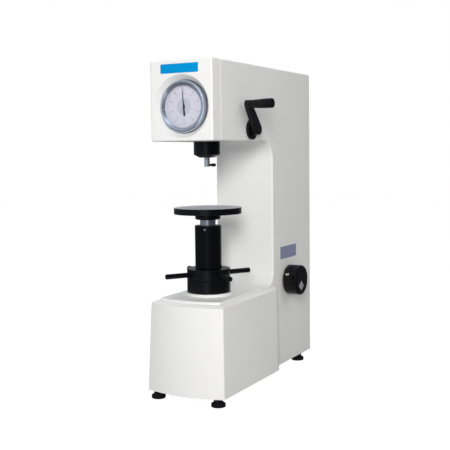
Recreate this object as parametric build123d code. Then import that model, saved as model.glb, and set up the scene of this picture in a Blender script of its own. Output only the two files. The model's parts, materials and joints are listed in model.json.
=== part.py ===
"""Bench hardness tester with a lever-and-weights load train.

Millimetres, +Z up. Everything is drawn about the test axis (the vertical line
through spindle, table and elevating screw, with the front towards -Y) and
moved at the end, so that the frame's origin is the centre of the footprint.
"""
from build123d import *
from math import cos, radians, sin
import os

# --- driving dimensions -------------------------------------------------
HEIGHT = 630.0
HEAD_HALF = 65.0            # half width of head, column and plateau
HEAD_UNDER_Z = 483.2
HEAD_FRONT_Y = -92.7
SEAM_Y = -62.0              # joint between front cover and casting
THROAT_Y = 153.5            # front face of the column
BACK_Y = 348.5
CASTING_Z = 16.0            # underside of the casting
HEAD_FILLET = 37.0
TOE_FILLET = 27.0
BACK_CORNER = 8.0
EDGE_R = 3.2
SEAM_CHAMFER = 1.5          # round the front rim of the casting
WALL = 9.0

BASE_HALF_LOW = 82.0
BASE_HALF_TOP = 77.0
BASE_CORNER_LOW_Y = -93.5
BASE_CORNER_TOP_Y = -85.5
BASE_BULGE = 15.0           # rise of the curved front over its corners
BASE_REAR_R = 15.0
BASE_FRONT_R = 4.0
SHOULDER_Z = 181.5
SHELF_Z = 185.8
SHELF_HALF = 67.5
SHELF_CORNER_Y = -76.5
PLATEAU_Z = 190.3
PLATEAU_CORNER_Y = -74.0
PLATEAU_BULGE = 13.5
BOSS_R = 45.0
BOSS_TOP_Z = 195.5
FLOOR_Z = 30.0              # inner floor of the hollow casting

COVER_T = 4.0
REAR_WINDOW = (48.0, 60.0, 600.0)      # half width, low z, high z
TOP_WINDOW = (50.0, -46.0, 332.0)      # half width, front y, rear y
REBATE = 6.0

# dial, in depths measured towards the front from the test axis
DIAL_Z = 545.8
RECESS_R = 52.5
RECESS_THROAT_R = 48.6
RECESS_DEPTH = 9.0
BEZEL_R = 47.5
BEZEL_FRONT = 90.3
BEZEL_BACK = 78.5
LIP_R = 40.0
GLASS_R = 43.0
GLASS_BACK = 84.0
GLASS_FRONT = 85.4
FACE_BACK = 81.2
FACE_FRONT = 81.8
CASE_R = 46.0
SPIGOT_R = 44.5
CASE_BACK = 60.0
CASE_WALL = 3.0
LONG_POINTER_BACK = 83.0
LONG_POINTER_TIP = 31.5
LONG_POINTER_TAIL = 17.0
POINTER_TILT = 5.0          # degrees, tip towards the left
SMALL_POINTER_BACK = 82.1
SMALL_POINTER_TIP = 11.0
SMALL_POINTER_ANGLE = 142.0
MEASURE_X = 14.0            # measuring lever, five to one
MEASURE_TOP_Z = 518.0
MEASURE_PIVOT_Y = -18.3
PLUNGER_Y = -70.0
PLUNGER_R = 2.0
COLLAR_R = 19.0
COLLAR_T = 5.0
COLLAR_TOP_Z = 511.5

# nose and spindle
NOSE_R = 25.2
NOSE_EDGE_Z = 458.3
NOSE_END_R = 13.9
NOSE_END_Z = 452.6
NOSE_SPIGOT_R = 20.0
BUSH_R = 10.0
SPINDLE_R = 5.4
SPINDLE_END_Z = 435.3
INDENTER_R = 3.2
INDENTER_DEPTH = 14.0
THUMB_Z = 438.6
THUMB_R = 1.2
THUMB_HEAD_R = 3.0
THUMB_HEAD_X, THUMB_END_X = 10.0, 18.2
FIT = 0.05                  # radial clearance of running fits

# elevating screw, table and handwheel
SCREW_R = 15.0
SCREW_LOW_Z = 80.0
SCREW_TOP_Z = 334.8
KEYWAY = 5.0
KEYWAY_DEPTH = 2.6
SLEEVE_R = 25.4
SLEEVE_WALL = 3.2
SLEEVE_HEAD = 14.0          # length that grips the screw
SLEEVE_LOW_Z = 241.4
SLEEVE_TOP_Z = 323.3
SLEEVE_SCREW_Z = 316.7
SLEEVE_SCREW_R = 2.0
SLEEVE_SCREW_ANGLE = -75.0
TABLE_R = 64.9
TABLE_LOW_Z = 345.9
TABLE_TOP_Z = 357.6
TABLE_HUB_R = 24.4
SHANK_R = 8.0
SHANK_LENGTH = 24.0
HUB_R = 41.6
HUB_LOW_Z = 219.4
HUB_TOP_Z = 241.0
HUB_SKIRT = 7.6             # turned down to run inside the housing
HOUSING_TOP_Z = 218.8
HOUSING_WALL = 7.0
HOUSING_FLOOR = 4.5
NUT_R = 22.0
ROD_R = 4.9
ROD_TIP = 90.0
ROD_ROOT = 26.0
ROD_Z = 230.2
ROD_ANGLE = 56.0
ROD_COUNT = 4
BEARING_T = 9.8
RACE_R, RACE_BORE = 31.0, 19.0
RACE_LOW_Z = 209.9
NUT_LOW_Z = 213.4

# load crank, on the right-hand side
CRANK_Y, CRANK_Z = 55.5, 505.5
GRIP_Y, GRIP_Z = 18.1, 551.6
FLANGE_R = 19.4
FLANGE_T = 6.5
CRANK_SHAFT_R = 8.0
ARM_IN_X = 75.0
ARM_OUT_X = 85.0
ARM_LOW_R = 11.0
ARM_TOP_R = 7.5
CAM_R = 12.0
CAM_HALF = 6.0
CAM_OFFSET = 8.0
CAM_TOP_Z = CRANK_Z + CAM_R + CAM_OFFSET
GRIP_IN_X = 86.2
GRIP_TIP_X = 132.0
GRIP_PIN_R = 3.0

# force selector
KNOB_Y, KNOB_Z = 225.0, 192.0
KNOB_IN_X = 66.5
KNOB_OUT_X = 98.5
KNOB_ROOT_R = 28.7
KNOB_R = 30.0
SELECTOR_SHAFT_R = 6.0

# load train inside the casting
FULCRUM_Y = -16.0
PIVOT_Z = 556.0
LEVER_LOW_Z, LEVER_TOP_Z = 552.0, 576.0
LEVER_HALF = 11.0
LEVER_END_Y = 284.0
LEVER_SLOTS = ((30, 90), (104, 164), (178, 238))
SLOT_LOW_Z, SLOT_TOP_Z = 562.0, 572.0
BRIDGE_LOW_Z, BRIDGE_TOP_Z = 592.0, 602.0
LOAD_KNIFE_Z = 550.0
SPINDLE_TOP_Z = LOAD_KNIFE_Z - 1.4   # the gap closes as the load comes on
HANGER_Y = 270.0
HANGER_KNIFE_Z = 584.0
HANGER_ROD_R = 5.0
STIRRUP_LOW_Z = 532.0
STIRRUP_HALF, STIRRUP_GAP = 18.0, 14.0
WEIGHT_R = 42.0
WEIGHT_FLOOR_Z = 240.0
WEIGHT_HEIGHTS = (20.0, 24.0, 32.0)
DASHPOT_Y = 205.0
DASHPOT_R = 24.0
DASHPOT_BORE = 18.0
DASHPOT_LOW_Z, DASHPOT_TOP_Z = 430.0, 510.0
PISTON_ROD_R = 4.1
PISTON_ROD_LOW_Z, PISTON_ROD_TOP_Z = 450.0, 555.6
PISTON_LOW_Z, PISTON_T = 484.0, 10.0
CRADLE_Z = 208.0
CRADLE_T = 5.0
CRADLE_ROD_R = 5.0
CRADLE_ROD_Y = 288.0
CRADLE_GUIDE_TOP_Z = 170.0

FOOT_R = 13.4
FOOT_PAD_H = 7.0
FOOT_NECK_R = 8.5
STUD_LOW_Z = 3.0            # rubber left under the stud
STUD_R = 5.0
FEET = [(64.7, -84.5), (-64.7, -84.5), (54.0, 300.0), (-54.0, 300.0)]

ORIGIN_X = (GRIP_TIP_X - BASE_HALF_LOW) / 2
ORIGIN_Y = (BACK_Y + BASE_CORNER_LOW_Y - BASE_BULGE) / 2

UP = (Align.CENTER, Align.CENTER, Align.MIN)


# --- helpers ------------------------------------------------------------
def turned(points):
    """Solid of revolution about Z from an (r, z) outline."""
    return revolve(Plane.XZ * make_face(Polyline(*points, close=True)), Axis.Z)


def rod(radius, low, high, x=0.0, y=0.0):
    """Vertical cylinder between two heights."""
    return Pos(x, y, low) * Cylinder(radius, high - low, align=UP)


def ring(outer, inner, low, high):
    return turned([(inner, low), (outer, low), (outer, high), (inner, high)])


def block(x0, x1, y0, y1, z0, z1):
    centre = ((x0 + x1) / 2, (y0 + y1) / 2, (z0 + z1) / 2)
    return Pos(*centre) * Box(x1 - x0, y1 - y0, z1 - z0)


def across(y, z):
    """Plane whose Z is world +X, for what turns about a sideways axis."""
    return Plane(origin=(0, y, z), x_dir=(0, 1, 0), z_dir=(1, 0, 0))


def outwards(angle, z):
    """Plane at the test axis whose Z points radially outwards."""
    a = radians(angle)
    return Plane(origin=(0, 0, z), x_dir=(-sin(a), cos(a), 0), z_dir=(cos(a), sin(a), 0))


def edge_at(solid, x, y, z):
    """The edge whose middle is nearest to a point."""
    place = Vector(x, y, z)
    return min(solid.edges(), key=lambda edge: (edge.center() - place).length)


DIAL = Plane(origin=(0, 0, DIAL_Z), x_dir=(1, 0, 0), z_dir=(0, -1, 0))


# --- housing --------------------------------------------------------------
def base_outline(half, corner_y, bulge, rear_r=0.0):
    """Plan of the base: straight sides and a curved front."""
    sides = Polyline((-half, corner_y), (-half, THROAT_Y), (half, THROAT_Y), (half, corner_y))
    front = ThreePointArc((half, corner_y), (0, corner_y - bulge), (-half, corner_y))
    plan = make_face([*sides.edges(), *front.edges()])
    ordered = plan.vertices().sort_by(Axis.Y)
    plan = fillet(ordered[:2], BASE_FRONT_R)
    if rear_r:
        plan = fillet(plan.vertices().sort_by(Axis.Y)[-2:], rear_r)
    return plan


def column_and_head():
    profile = make_face(Polyline(
        (SEAM_Y, HEAD_UNDER_Z), (THROAT_Y, HEAD_UNDER_Z), (THROAT_Y, CASTING_Z),
        (BACK_Y, CASTING_Z), (BACK_Y, HEIGHT), (SEAM_Y, HEIGHT), close=True))
    throat = profile.vertices().sort_by_distance((THROAT_Y, HEAD_UNDER_Z, 0))[0]
    profile = fillet(throat, HEAD_FILLET)
    back = profile.vertices().sort_by_distance((BACK_Y, HEIGHT, 0))[0]
    profile = fillet(back, BACK_CORNER)
    return extrude(Plane.YZ * profile, HEAD_HALF, both=True)


def base_block():
    sections = [
        Pos(0, 0, CASTING_Z) * base_outline(
            BASE_HALF_LOW, BASE_CORNER_LOW_Y, BASE_BULGE, BASE_REAR_R),
        Pos(0, 0, SHOULDER_Z) * base_outline(
            BASE_HALF_TOP, BASE_CORNER_TOP_Y, BASE_BULGE, BASE_REAR_R - 3),
        Pos(0, 0, SHELF_Z) * base_outline(
            SHELF_HALF, SHELF_CORNER_Y, PLATEAU_BULGE, 1.5),
    ]
    plan = base_outline(HEAD_HALF, PLATEAU_CORNER_Y, PLATEAU_BULGE)
    plateau = Pos(0, 0, SHELF_Z - 3) * extrude(plan, PLATEAU_Z - SHELF_Z + 3)
    return loft(sections, ruled=True) + plateau


def cavity():
    """Everything cored out of the casting, with its two hand windows."""
    inner = HEAD_HALF - WALL
    path = make_face(Polyline(
        (SEAM_Y - 1, HEAD_UNDER_Z + WALL), (THROAT_Y + WALL, HEAD_UNDER_Z + WALL),
        (THROAT_Y + WALL, FLOOR_Z), (BACK_Y - WALL, FLOOR_Z),
        (BACK_Y - WALL, HEIGHT - WALL), (SEAM_Y - 1, HEIGHT - WALL), close=True))
    space = extrude(Plane.YZ * path, inner, both=True)
    plan = base_outline(BASE_HALF_TOP - 13, BASE_CORNER_TOP_Y + 13, BASE_BULGE - 2)
    base_core = Pos(0, -WALL, FLOOR_Z) * extrude(plan, SHOULDER_Z - 12 - FLOOR_Z)
    doorway = block(-44, 44, THROAT_Y - 2 * WALL, THROAT_Y + 2 * WALL, FLOOR_Z + 12, 160)
    half, low, high = REAR_WINDOW
    rear = block(-half, half, BACK_Y - 2 * WALL, BACK_Y + 1, low, high)
    rear += block(-half - REBATE, half + REBATE, BACK_Y - COVER_T, BACK_Y + 1,
                  low - REBATE, high + REBATE)
    half, front, back = TOP_WINDOW
    top = block(-half, half, front, back, HEIGHT - 2 * WALL, HEIGHT + 1)
    top += block(-half - REBATE, half + REBATE, front - REBATE, back + REBATE,
                 HEIGHT - COVER_T, HEIGHT + 1)
    return space + base_core + doorway + rear + top


def frame_casting():
    casting = column_and_head() + base_block()
    toe = casting.edges().filter_by(Axis.X).sort_by_distance((0, THROAT_Y, PLATEAU_Z))[0]
    casting = fillet(toe, TOE_FILLET)
    # one tangent run: up the left of the throat, round the plateau, up the right
    casting = fillet(edge_at(casting, HEAD_HALF, THROAT_Y, 331), EDGE_R)
    for side in (-HEAD_HALF, HEAD_HALF):
        casting = fillet(edge_at(casting, side, 139, HEIGHT), EDGE_R)
    rim = casting.edges().filter_by_position(Axis.Y, SEAM_Y - 0.01, SEAM_Y + 0.01)
    casting = chamfer(rim, SEAM_CHAMFER)
    casting += rod(BOSS_R, PLATEAU_Z - 1, BOSS_TOP_Z)
    casting -= cavity()
    casting -= rod(NUT_R, SHOULDER_Z - 20, BOSS_TOP_Z + 1)
    casting -= rod(NOSE_SPIGOT_R, HEAD_UNDER_Z - 1, HEAD_UNDER_Z + WALL + 1)
    casting -= across(CRANK_Y, CRANK_Z) * rod(CRANK_SHAFT_R + 3, HEAD_HALF - 12, HEAD_HALF + 1)
    casting -= across(KNOB_Y, KNOB_Z) * rod(SELECTOR_SHAFT_R + 3, HEAD_HALF - 12, HEAD_HALF + 1)
    for x, y in FEET:
        casting -= rod(STUD_R, CASTING_Z - 1, CASTING_Z + 10, x, y)
    return casting


def front_cover():
    cover = block(-HEAD_HALF, HEAD_HALF, HEAD_FRONT_Y, SEAM_Y, HEAD_UNDER_Z, HEIGHT)
    outer = cover.edges().filter_by(lambda e: e.center().Y < SEAM_Y - 1)
    cover = fillet(outer, EDGE_R)
    t = COVER_T
    cover -= block(-HEAD_HALF + t, HEAD_HALF - t, HEAD_FRONT_Y + t, SEAM_Y + 1,
                   HEAD_UNDER_Z + t, HEIGHT - t)
    collar = rod(RECESS_R + 5, BEZEL_BACK, -HEAD_FRONT_Y - 1)
    cover += DIAL * collar
    front = -HEAD_FRONT_Y
    recess = turned([
        (0, BEZEL_BACK - 1), (RECESS_THROAT_R, BEZEL_BACK - 1),
        (RECESS_THROAT_R, front - RECESS_DEPTH), (RECESS_R - 1.2, front - 1.6),
        (RECESS_R, front), (RECESS_R, front + 1), (0, front + 1)])
    return cover - DIAL * recess


def cover_screws():
    """Flush cheese-head screws of the lid and of the rear plate."""
    head = rod(2.9, -2.2, 0)
    screws = []
    half, front, back = TOP_WINDOW
    for x in (-half - REBATE / 2, half + REBATE / 2):
        for y in (front + 10, (front + back) / 2, back - 10):
            screws.append(Pos(x, y, HEIGHT) * head)
    half, low, high = REAR_WINDOW
    rearwards = Plane(origin=(0, BACK_Y, 0), x_dir=(1, 0, 0), z_dir=(0, 1, 0))
    for x in (-half - REBATE / 2, half + REBATE / 2):
        for z in (low + 10, (low + high) / 2, high - 10):
            screws.append(rearwards * (Pos(x, -z, 0) * head))
    return Compound(screws)


def top_cover():
    half, front, back = TOP_WINDOW
    lid = block(-half - REBATE, half + REBATE, front - REBATE, back + REBATE,
                HEIGHT - COVER_T, HEIGHT)
    return chamfer(lid.edges().group_by(Axis.Z)[-1], 0.6) - cover_screws()


def rear_cover():
    half, low, high = REAR_WINDOW
    plate = block(-half - REBATE, half + REBATE, BACK_Y - COVER_T, BACK_Y,
                  low - REBATE, high + REBATE)
    return chamfer(plate.edges().group_by(Axis.Y)[-1], 0.6) - cover_screws()


def feet():
    pads = []
    outline = [(STUD_R, STUD_LOW_Z), (0, STUD_LOW_Z), (0, 0), (FOOT_R, 0),
               (FOOT_R, FOOT_PAD_H - 1.5), (FOOT_R - 1.5, FOOT_PAD_H),
               (FOOT_NECK_R, FOOT_PAD_H + 1), (FOOT_NECK_R, CASTING_Z), (STUD_R, CASTING_Z)]
    for x, y in FEET:
        pads.append(Pos(x, y, 0) * turned(outline))
    return Compound(pads)


def foot_studs():
    return Compound([rod(STUD_R, STUD_LOW_Z, CASTING_Z + 10, x, y) for x, y in FEET])


# --- dial -------------------------------------------------------------------
def dial_case():
    cup = turned([
        (0, CASE_BACK), (CASE_R, CASE_BACK), (CASE_R, BEZEL_BACK - 0.5),
        (SPIGOT_R, BEZEL_BACK - 0.5), (SPIGOT_R, FACE_BACK - 0.2),
        (SPIGOT_R - CASE_WALL, FACE_BACK - 0.2), (SPIGOT_R - CASE_WALL, CASE_BACK + CASE_WALL),
        (0, CASE_BACK + CASE_WALL)])
    back_y = -CASE_BACK
    bracket = block(-HEAD_HALF + WALL, HEAD_HALF - WALL, back_y, back_y + 6,
                    DIAL_Z + 18, DIAL_Z + 30)
    lever_slot = block(MEASURE_X - 5, MEASURE_X + 5, back_y - 4, back_y + 1, 506.5, 522)
    return DIAL * cup + bracket - lever_slot


def dial_movement():
    box = DIAL * ring(26, 1.5, CASE_BACK + CASE_WALL, CASE_BACK + 14)
    return box - rod(PLUNGER_R + FIT, 515, 542, MEASURE_X, PLUNGER_Y)


def bezel():
    """Chromed ring, crowned at the front, that turns with glass and face."""
    seat = FACE_BACK - FIT
    inner = SPIGOT_R + 2 * FIT
    return DIAL * turned([
        (inner, BEZEL_BACK), (BEZEL_R, BEZEL_BACK), (BEZEL_R, BEZEL_FRONT - 4.3),
        (BEZEL_R - 1.0, BEZEL_FRONT - 1.3), (BEZEL_R - 3.3, BEZEL_FRONT),
        (LIP_R + 1.6, BEZEL_FRONT - 1.2), (LIP_R, GLASS_FRONT + 1.4), (LIP_R, GLASS_FRONT),
        (GLASS_R, GLASS_FRONT), (GLASS_R, seat), (inner, seat)])


def glass_spacer():
    return DIAL * ring(GLASS_R, GLASS_R - 2, FACE_FRONT, GLASS_BACK)


def dial_face():
    return DIAL * ring(GLASS_R, 2.6, FACE_BACK, FACE_FRONT)


def dial_glass():
    return DIAL * rod(GLASS_R, GLASS_BACK, GLASS_FRONT)


def pointer_blade(tip, tail, tip_width, tail_width, low, high):
    """Slim blade, pointed at the tip and round at the tail."""
    sides = [(-tail_width / 2, -tail), (-tip_width / 2, tip), (tip_width / 2, tip),
             (tail_width / 2, -tail)]
    blade = make_face(Polyline(*sides, close=True)) + Pos(0, -tail) * Circle(tail_width / 2)
    return Pos(0, 0, low) * extrude(blade, high - low)


def long_pointer():
    back = LONG_POINTER_BACK
    blade = pointer_blade(LONG_POINTER_TIP, LONG_POINTER_TAIL - 2.2, 0.7, 4.4, back, back + 0.5)
    arbor = rod(0.8, CASE_BACK + 6, back + 0.2) + rod(2.2, back - 0.15, back + 0.75)
    return DIAL * (Rot(0, 0, POINTER_TILT) * blade + arbor)


def small_pointer():
    back = SMALL_POINTER_BACK
    blade = pointer_blade(SMALL_POINTER_TIP, 3.0, 0.6, 1.6, back, back + 0.4)
    blade -= rod(1.2, back - 0.1, back + 0.9)
    tube = ring(1.45, 0.85, CASE_BACK + 10, back + 0.5)
    return DIAL * (Rot(0, 0, SMALL_POINTER_ANGLE) * blade + tube)


def dial_plunger():
    return rod(PLUNGER_R, MEASURE_TOP_Z + 0.1, 538, MEASURE_X, PLUNGER_Y)


# --- nose and spindle ---------------------------------------------------------
def nose_housing():
    return turned([
        (BUSH_R, NOSE_END_Z), (NOSE_END_R, NOSE_END_Z), (NOSE_R, NOSE_EDGE_Z),
        (NOSE_R, HEAD_UNDER_Z), (NOSE_SPIGOT_R, HEAD_UNDER_Z),
        (NOSE_SPIGOT_R, HEAD_UNDER_Z + WALL + 6), (BUSH_R, HEAD_UNDER_Z + WALL + 6)])


def spindle_bush():
    return ring(BUSH_R, SPINDLE_R + FIT, NOSE_END_Z, HEAD_UNDER_Z + WALL + 6)


def spindle():
    shaft = rod(SPINDLE_R, SPINDLE_END_Z, SPINDLE_TOP_Z)
    shaft += rod(COLLAR_R, COLLAR_TOP_Z - COLLAR_T, COLLAR_TOP_Z)
    shaft = chamfer(shaft.edges().group_by(Axis.Z)[0], 0.6)
    shaft -= rod(INDENTER_R, SPINDLE_END_Z - 1, SPINDLE_END_Z + INDENTER_DEPTH)
    return shaft - across(0, THUMB_Z) * rod(THUMB_R + FIT, 0, SPINDLE_R + 1)


def thumb_screw():
    shank = turned([
        (0, INDENTER_R + 0.1), (THUMB_R, INDENTER_R + 0.1), (THUMB_R, THUMB_HEAD_X - 1.6),
        (2.2, THUMB_HEAD_X - 1), (THUMB_HEAD_R, THUMB_HEAD_X), (THUMB_HEAD_R, THUMB_END_X - 1),
        (THUMB_HEAD_R - 0.9, THUMB_END_X), (0, THUMB_END_X)])
    return across(0, THUMB_Z) * shank


# --- load train -----------------------------------------------------------------
def knife(y, apex_z, height, half, upward):
    """Hardened knife edge lying across the lever."""
    root_z = apex_z - height if upward else apex_z + height
    outline = Polyline((y - 4, root_z), (y + 4, root_z), (y, apex_z), close=True)
    return extrude(Plane.YZ * make_face(outline), half, both=True)


def main_lever():
    """Forged bar, deep at the fulcrum and tapering to the weight end."""
    outline = Polyline(
        (FULCRUM_Y - 12, LEVER_LOW_Z), (40, LEVER_LOW_Z), (LEVER_END_Y, LEVER_LOW_Z + 6),
        (LEVER_END_Y, LEVER_TOP_Z), (40, LEVER_TOP_Z + 8), (FULCRUM_Y - 12, LEVER_TOP_Z + 2),
        close=True)
    bar = extrude(Plane.YZ * make_face(outline), LEVER_HALF, both=True)
    for low, high in LEVER_SLOTS:
        slot = make_face(Polyline(
            (low, SLOT_LOW_Z), (high, SLOT_LOW_Z), (high, SLOT_TOP_Z), (low, SLOT_TOP_Z),
            close=True))
        slot = fillet(slot.vertices(), 4.9)
        bar -= extrude(Plane.YZ * slot, LEVER_HALF + 1, both=True)
    return bar


def knife_edges():
    side = knife(FULCRUM_Y, PIVOT_Z, 7, 7, True)
    offset = LEVER_HALF + 7
    return Compound([
        Pos(-offset, 0, 0) * side,
        Pos(offset, 0, 0) * side,
        knife(0, LOAD_KNIFE_Z, LEVER_LOW_Z - LOAD_KNIFE_Z, LEVER_HALF, False),
        knife(HANGER_Y, HANGER_KNIFE_Z, HANGER_KNIFE_Z - LEVER_TOP_Z - 0.5, LEVER_HALF, True)])


def cam_follower():
    foot = block(-5, 5, CRANK_Y - 6, CRANK_Y + 6, CAM_TOP_Z + 1, LEVER_LOW_Z)
    return fillet(foot.edges().filter_by(Axis.X).group_by(Axis.Z)[0], 3)


def fulcrum_block():
    """Bridge that carries the lever by its two outer knife edges."""
    inner, outer = LEVER_HALF + 16, LEVER_HALF + 24
    y0, y1 = FULCRUM_Y - 14, FULCRUM_Y + 12
    floor = HEAD_UNDER_Z + WALL
    bridge = block(-outer, outer, y0, y1, BRIDGE_LOW_Z, BRIDGE_TOP_Z)
    for side in (-1, 1):
        a, b = sorted((side * inner, side * outer))
        bridge += block(a, b, y0, y1, floor, BRIDGE_LOW_Z)
        a, b = sorted((side * (LEVER_HALF + 2), side * inner))
        bridge += block(a, b, FULCRUM_Y - 8, FULCRUM_Y + 8, PIVOT_Z + 0.1, PIVOT_Z + 18)
    return bridge


def weight_hanger():
    y0, y1 = HANGER_Y - 6, HANGER_Y + 6
    stirrup = block(-STIRRUP_HALF, STIRRUP_HALF, y0, y1, STIRRUP_LOW_Z, HANGER_KNIFE_Z + 10)
    stirrup -= block(-STIRRUP_GAP, STIRRUP_GAP, y0 - 1, y1 + 1,
                     STIRRUP_LOW_Z + 8, HANGER_KNIFE_Z + 0.1)
    hanger = stirrup + rod(HANGER_ROD_R, WEIGHT_FLOOR_Z - 3, STIRRUP_LOW_Z + 2, 0, HANGER_Y)
    return hanger + rod(20, WEIGHT_FLOOR_Z - 6, WEIGHT_FLOOR_Z, 0, HANGER_Y)


def weight(index):
    low = WEIGHT_FLOOR_Z + sum(WEIGHT_HEIGHTS[:index])
    disc = ring(WEIGHT_R, HANGER_ROD_R + 0.3, low, low + WEIGHT_HEIGHTS[index])
    return Pos(0, HANGER_Y, 0) * chamfer(disc.edges().filter_by(GeomType.CIRCLE), 0.8)


def dashpot_cylinder():
    cup = turned([
        (0, DASHPOT_LOW_Z), (DASHPOT_R, DASHPOT_LOW_Z), (DASHPOT_R, DASHPOT_TOP_Z),
        (PISTON_ROD_R + 0.1, DASHPOT_TOP_Z), (PISTON_ROD_R + 0.1, DASHPOT_TOP_Z - 4),
        (DASHPOT_BORE, DASHPOT_TOP_Z - 4), (DASHPOT_BORE, DASHPOT_LOW_Z + 6),
        (0, DASHPOT_LOW_Z + 6)])
    ear = block(-14, 14, THROAT_Y + WALL - DASHPOT_Y, -DASHPOT_BORE - 3, 455, 478)
    return Pos(0, DASHPOT_Y, 0) * (cup + ear)


def dashpot_piston():
    piston = rod(DASHPOT_BORE - FIT, PISTON_LOW_Z, PISTON_LOW_Z + PISTON_T)
    piston += rod(PISTON_ROD_R, PISTON_ROD_LOW_Z, PISTON_ROD_TOP_Z)
    return Pos(0, DASHPOT_Y, 0) * piston


def measuring_lever():
    """Five-to-one lever from the spindle collar to the dial's plunger."""
    x0, x1 = MEASURE_X - 3, MEASURE_X + 3
    low = MEASURE_TOP_Z - 5
    bar = block(x0, x1, PLUNGER_Y - 3, -4, low, MEASURE_TOP_Z)
    nose = Pos(MEASURE_X, -8, low) * (Rot(0, 90, 0) * Cylinder(low - COLLAR_TOP_Z - 0.1, 6))
    pin_hole = across(MEASURE_PIVOT_Y, MEASURE_TOP_Z - 2.5) * rod(1.5 + FIT, 0, 40)
    return bar + nose - pin_hole


def measuring_pivot():
    floor = HEAD_UNDER_Z + WALL
    post = block(18.5, 26.5, MEASURE_PIVOT_Y - 5, MEASURE_PIVOT_Y + 5, floor, MEASURE_TOP_Z + 2)
    pin = across(MEASURE_PIVOT_Y, MEASURE_TOP_Z - 2.5) * rod(1.5, MEASURE_X - 4.5, 20)
    return post + pin


# --- load crank -------------------------------------------------------------------
def crank_shaft():
    """Shaft with its lifting cam forged on."""
    bar = rod(CRANK_SHAFT_R, -33, ARM_OUT_X - 2)
    cam = Pos(0, CAM_OFFSET, 0) * rod(CAM_R, -CAM_HALF, CAM_HALF)
    return across(CRANK_Y, CRANK_Z) * (bar + cam)


def shaft_bearing():
    floor = HEAD_UNDER_Z + WALL
    post = block(-34, -22, CRANK_Y - 12, CRANK_Y + 12, floor, CRANK_Z + 14)
    post = fillet(post.edges().filter_by(Axis.X).group_by(Axis.Z)[-1], 10)
    return post - across(CRANK_Y, CRANK_Z) * rod(CRANK_SHAFT_R + FIT, -40, 0)


def crank_bush():
    return across(CRANK_Y, CRANK_Z) * ring(
        CRANK_SHAFT_R + 3, CRANK_SHAFT_R + FIT, HEAD_HALF - WALL, HEAD_HALF)


def crank_flange():
    disc = ring(FLANGE_R, CRANK_SHAFT_R + FIT, HEAD_HALF, HEAD_HALF + FLANGE_T)
    disc = chamfer(disc.edges().filter_by(GeomType.CIRCLE).group_by(Axis.Z)[-1].sort_by(
        SortBy.RADIUS)[-1], 1.2)
    return across(CRANK_Y, CRANK_Z) * disc


def crank_arm():
    """Forged arm: two bosses joined by their common tangents."""
    dy, dz = GRIP_Y - CRANK_Y, GRIP_Z - CRANK_Z
    outline = Circle(ARM_LOW_R) + Pos(dy, dz) * Circle(ARM_TOP_R)
    web = make_hull(outline.edges())
    arm = Pos(0, 0, ARM_IN_X) * extrude(web, ARM_OUT_X - ARM_IN_X)
    arm = chamfer(arm.edges().group_by(Axis.Z)[-1], 1.4)
    arm += rod(ARM_LOW_R + 1, HEAD_HALF + FLANGE_T + 0.3, ARM_IN_X + 1)
    arm += rod(ARM_TOP_R, ARM_OUT_X - 3, ARM_OUT_X + 0.6, dy, dz)
    arm -= rod(CRANK_SHAFT_R, ARM_IN_X - 10, ARM_OUT_X - 2)
    arm -= rod(GRIP_PIN_R, ARM_IN_X + 2, GRIP_TIP_X, dy, dz)
    return across(CRANK_Y, CRANK_Z) * arm


def grip_pin():
    pin = rod(GRIP_PIN_R, ARM_IN_X + 2, GRIP_TIP_X - 8)
    return across(GRIP_Y, GRIP_Z) * pin


def grip():
    """Tapered handle, thickest near its rounded free end."""
    bore, back = GRIP_PIN_R + FIT, GRIP_TIP_X - 7
    return across(GRIP_Y, GRIP_Z) * turned([
        (bore, GRIP_IN_X), (6.0, GRIP_IN_X), (6.6, GRIP_IN_X + 1.5), (6.4, GRIP_IN_X + 6),
        (8.3, GRIP_TIP_X - 18), (8.6, GRIP_TIP_X - 3.2), (7.6, GRIP_TIP_X - 1.0),
        (5.4, GRIP_TIP_X), (0, GRIP_TIP_X), (0, back), (bore, back)])


# --- force selector ----------------------------------------------------------------
def selector_shaft():
    return across(KNOB_Y, KNOB_Z) * rod(SELECTOR_SHAFT_R, -12, KNOB_OUT_X - 8)


def selector_bush():
    bush = turned([
        (SELECTOR_SHAFT_R + FIT, HEAD_HALF - WALL), (SELECTOR_SHAFT_R + 3, HEAD_HALF - WALL),
        (SELECTOR_SHAFT_R + 3, HEAD_HALF), (14, HEAD_HALF), (14, HEAD_HALF + 1.2),
        (SELECTOR_SHAFT_R + FIT, HEAD_HALF + 1.2)])
    return across(KNOB_Y, KNOB_Z) * bush


def selector_cam():
    disc = ring(9.5, SELECTOR_SHAFT_R, -10, 2)
    for turn in (0, 120, 240):
        disc -= Rot(0, 0, turn) * Pos(0, 10.6, 0) * rod(2.5, -11, 3)
    return across(KNOB_Y, KNOB_Z) * disc


def force_knob():
    """Moulded knob, a little wider towards its rounded front edge."""
    front = KNOB_OUT_X
    body = turned([
        (0, KNOB_IN_X), (KNOB_ROOT_R, KNOB_IN_X), (KNOB_R, front - 4.2),
        (KNOB_R - 1.2, front - 1.3), (KNOB_R - 4.2, front), (0, front)])
    return across(KNOB_Y, KNOB_Z) * (body - rod(SELECTOR_SHAFT_R, KNOB_IN_X - 1, front - 8))


def knob_pointer():
    kite = make_face(Polyline((0, -0.6), (13.0, -12.3), (0, -22.6), (-13.4, -10.5), close=True))
    return across(KNOB_Y, KNOB_Z) * (Pos(0, 0, KNOB_OUT_X) * extrude(kite, 0.6))


def weight_cradle():
    """Fork that carries the weights left out of the test."""
    fork = block(-30, 30, HANGER_Y - 24, HANGER_Y + 30, CRADLE_Z, CRADLE_Z + CRADLE_T)
    fork += block(-6, 6, KNOB_Y - 8, HANGER_Y - 20, CRADLE_Z, CRADLE_Z + CRADLE_T)
    return fork + rod(CRADLE_ROD_R, 100, CRADLE_Z + 1, 0, CRADLE_ROD_Y)


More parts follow.
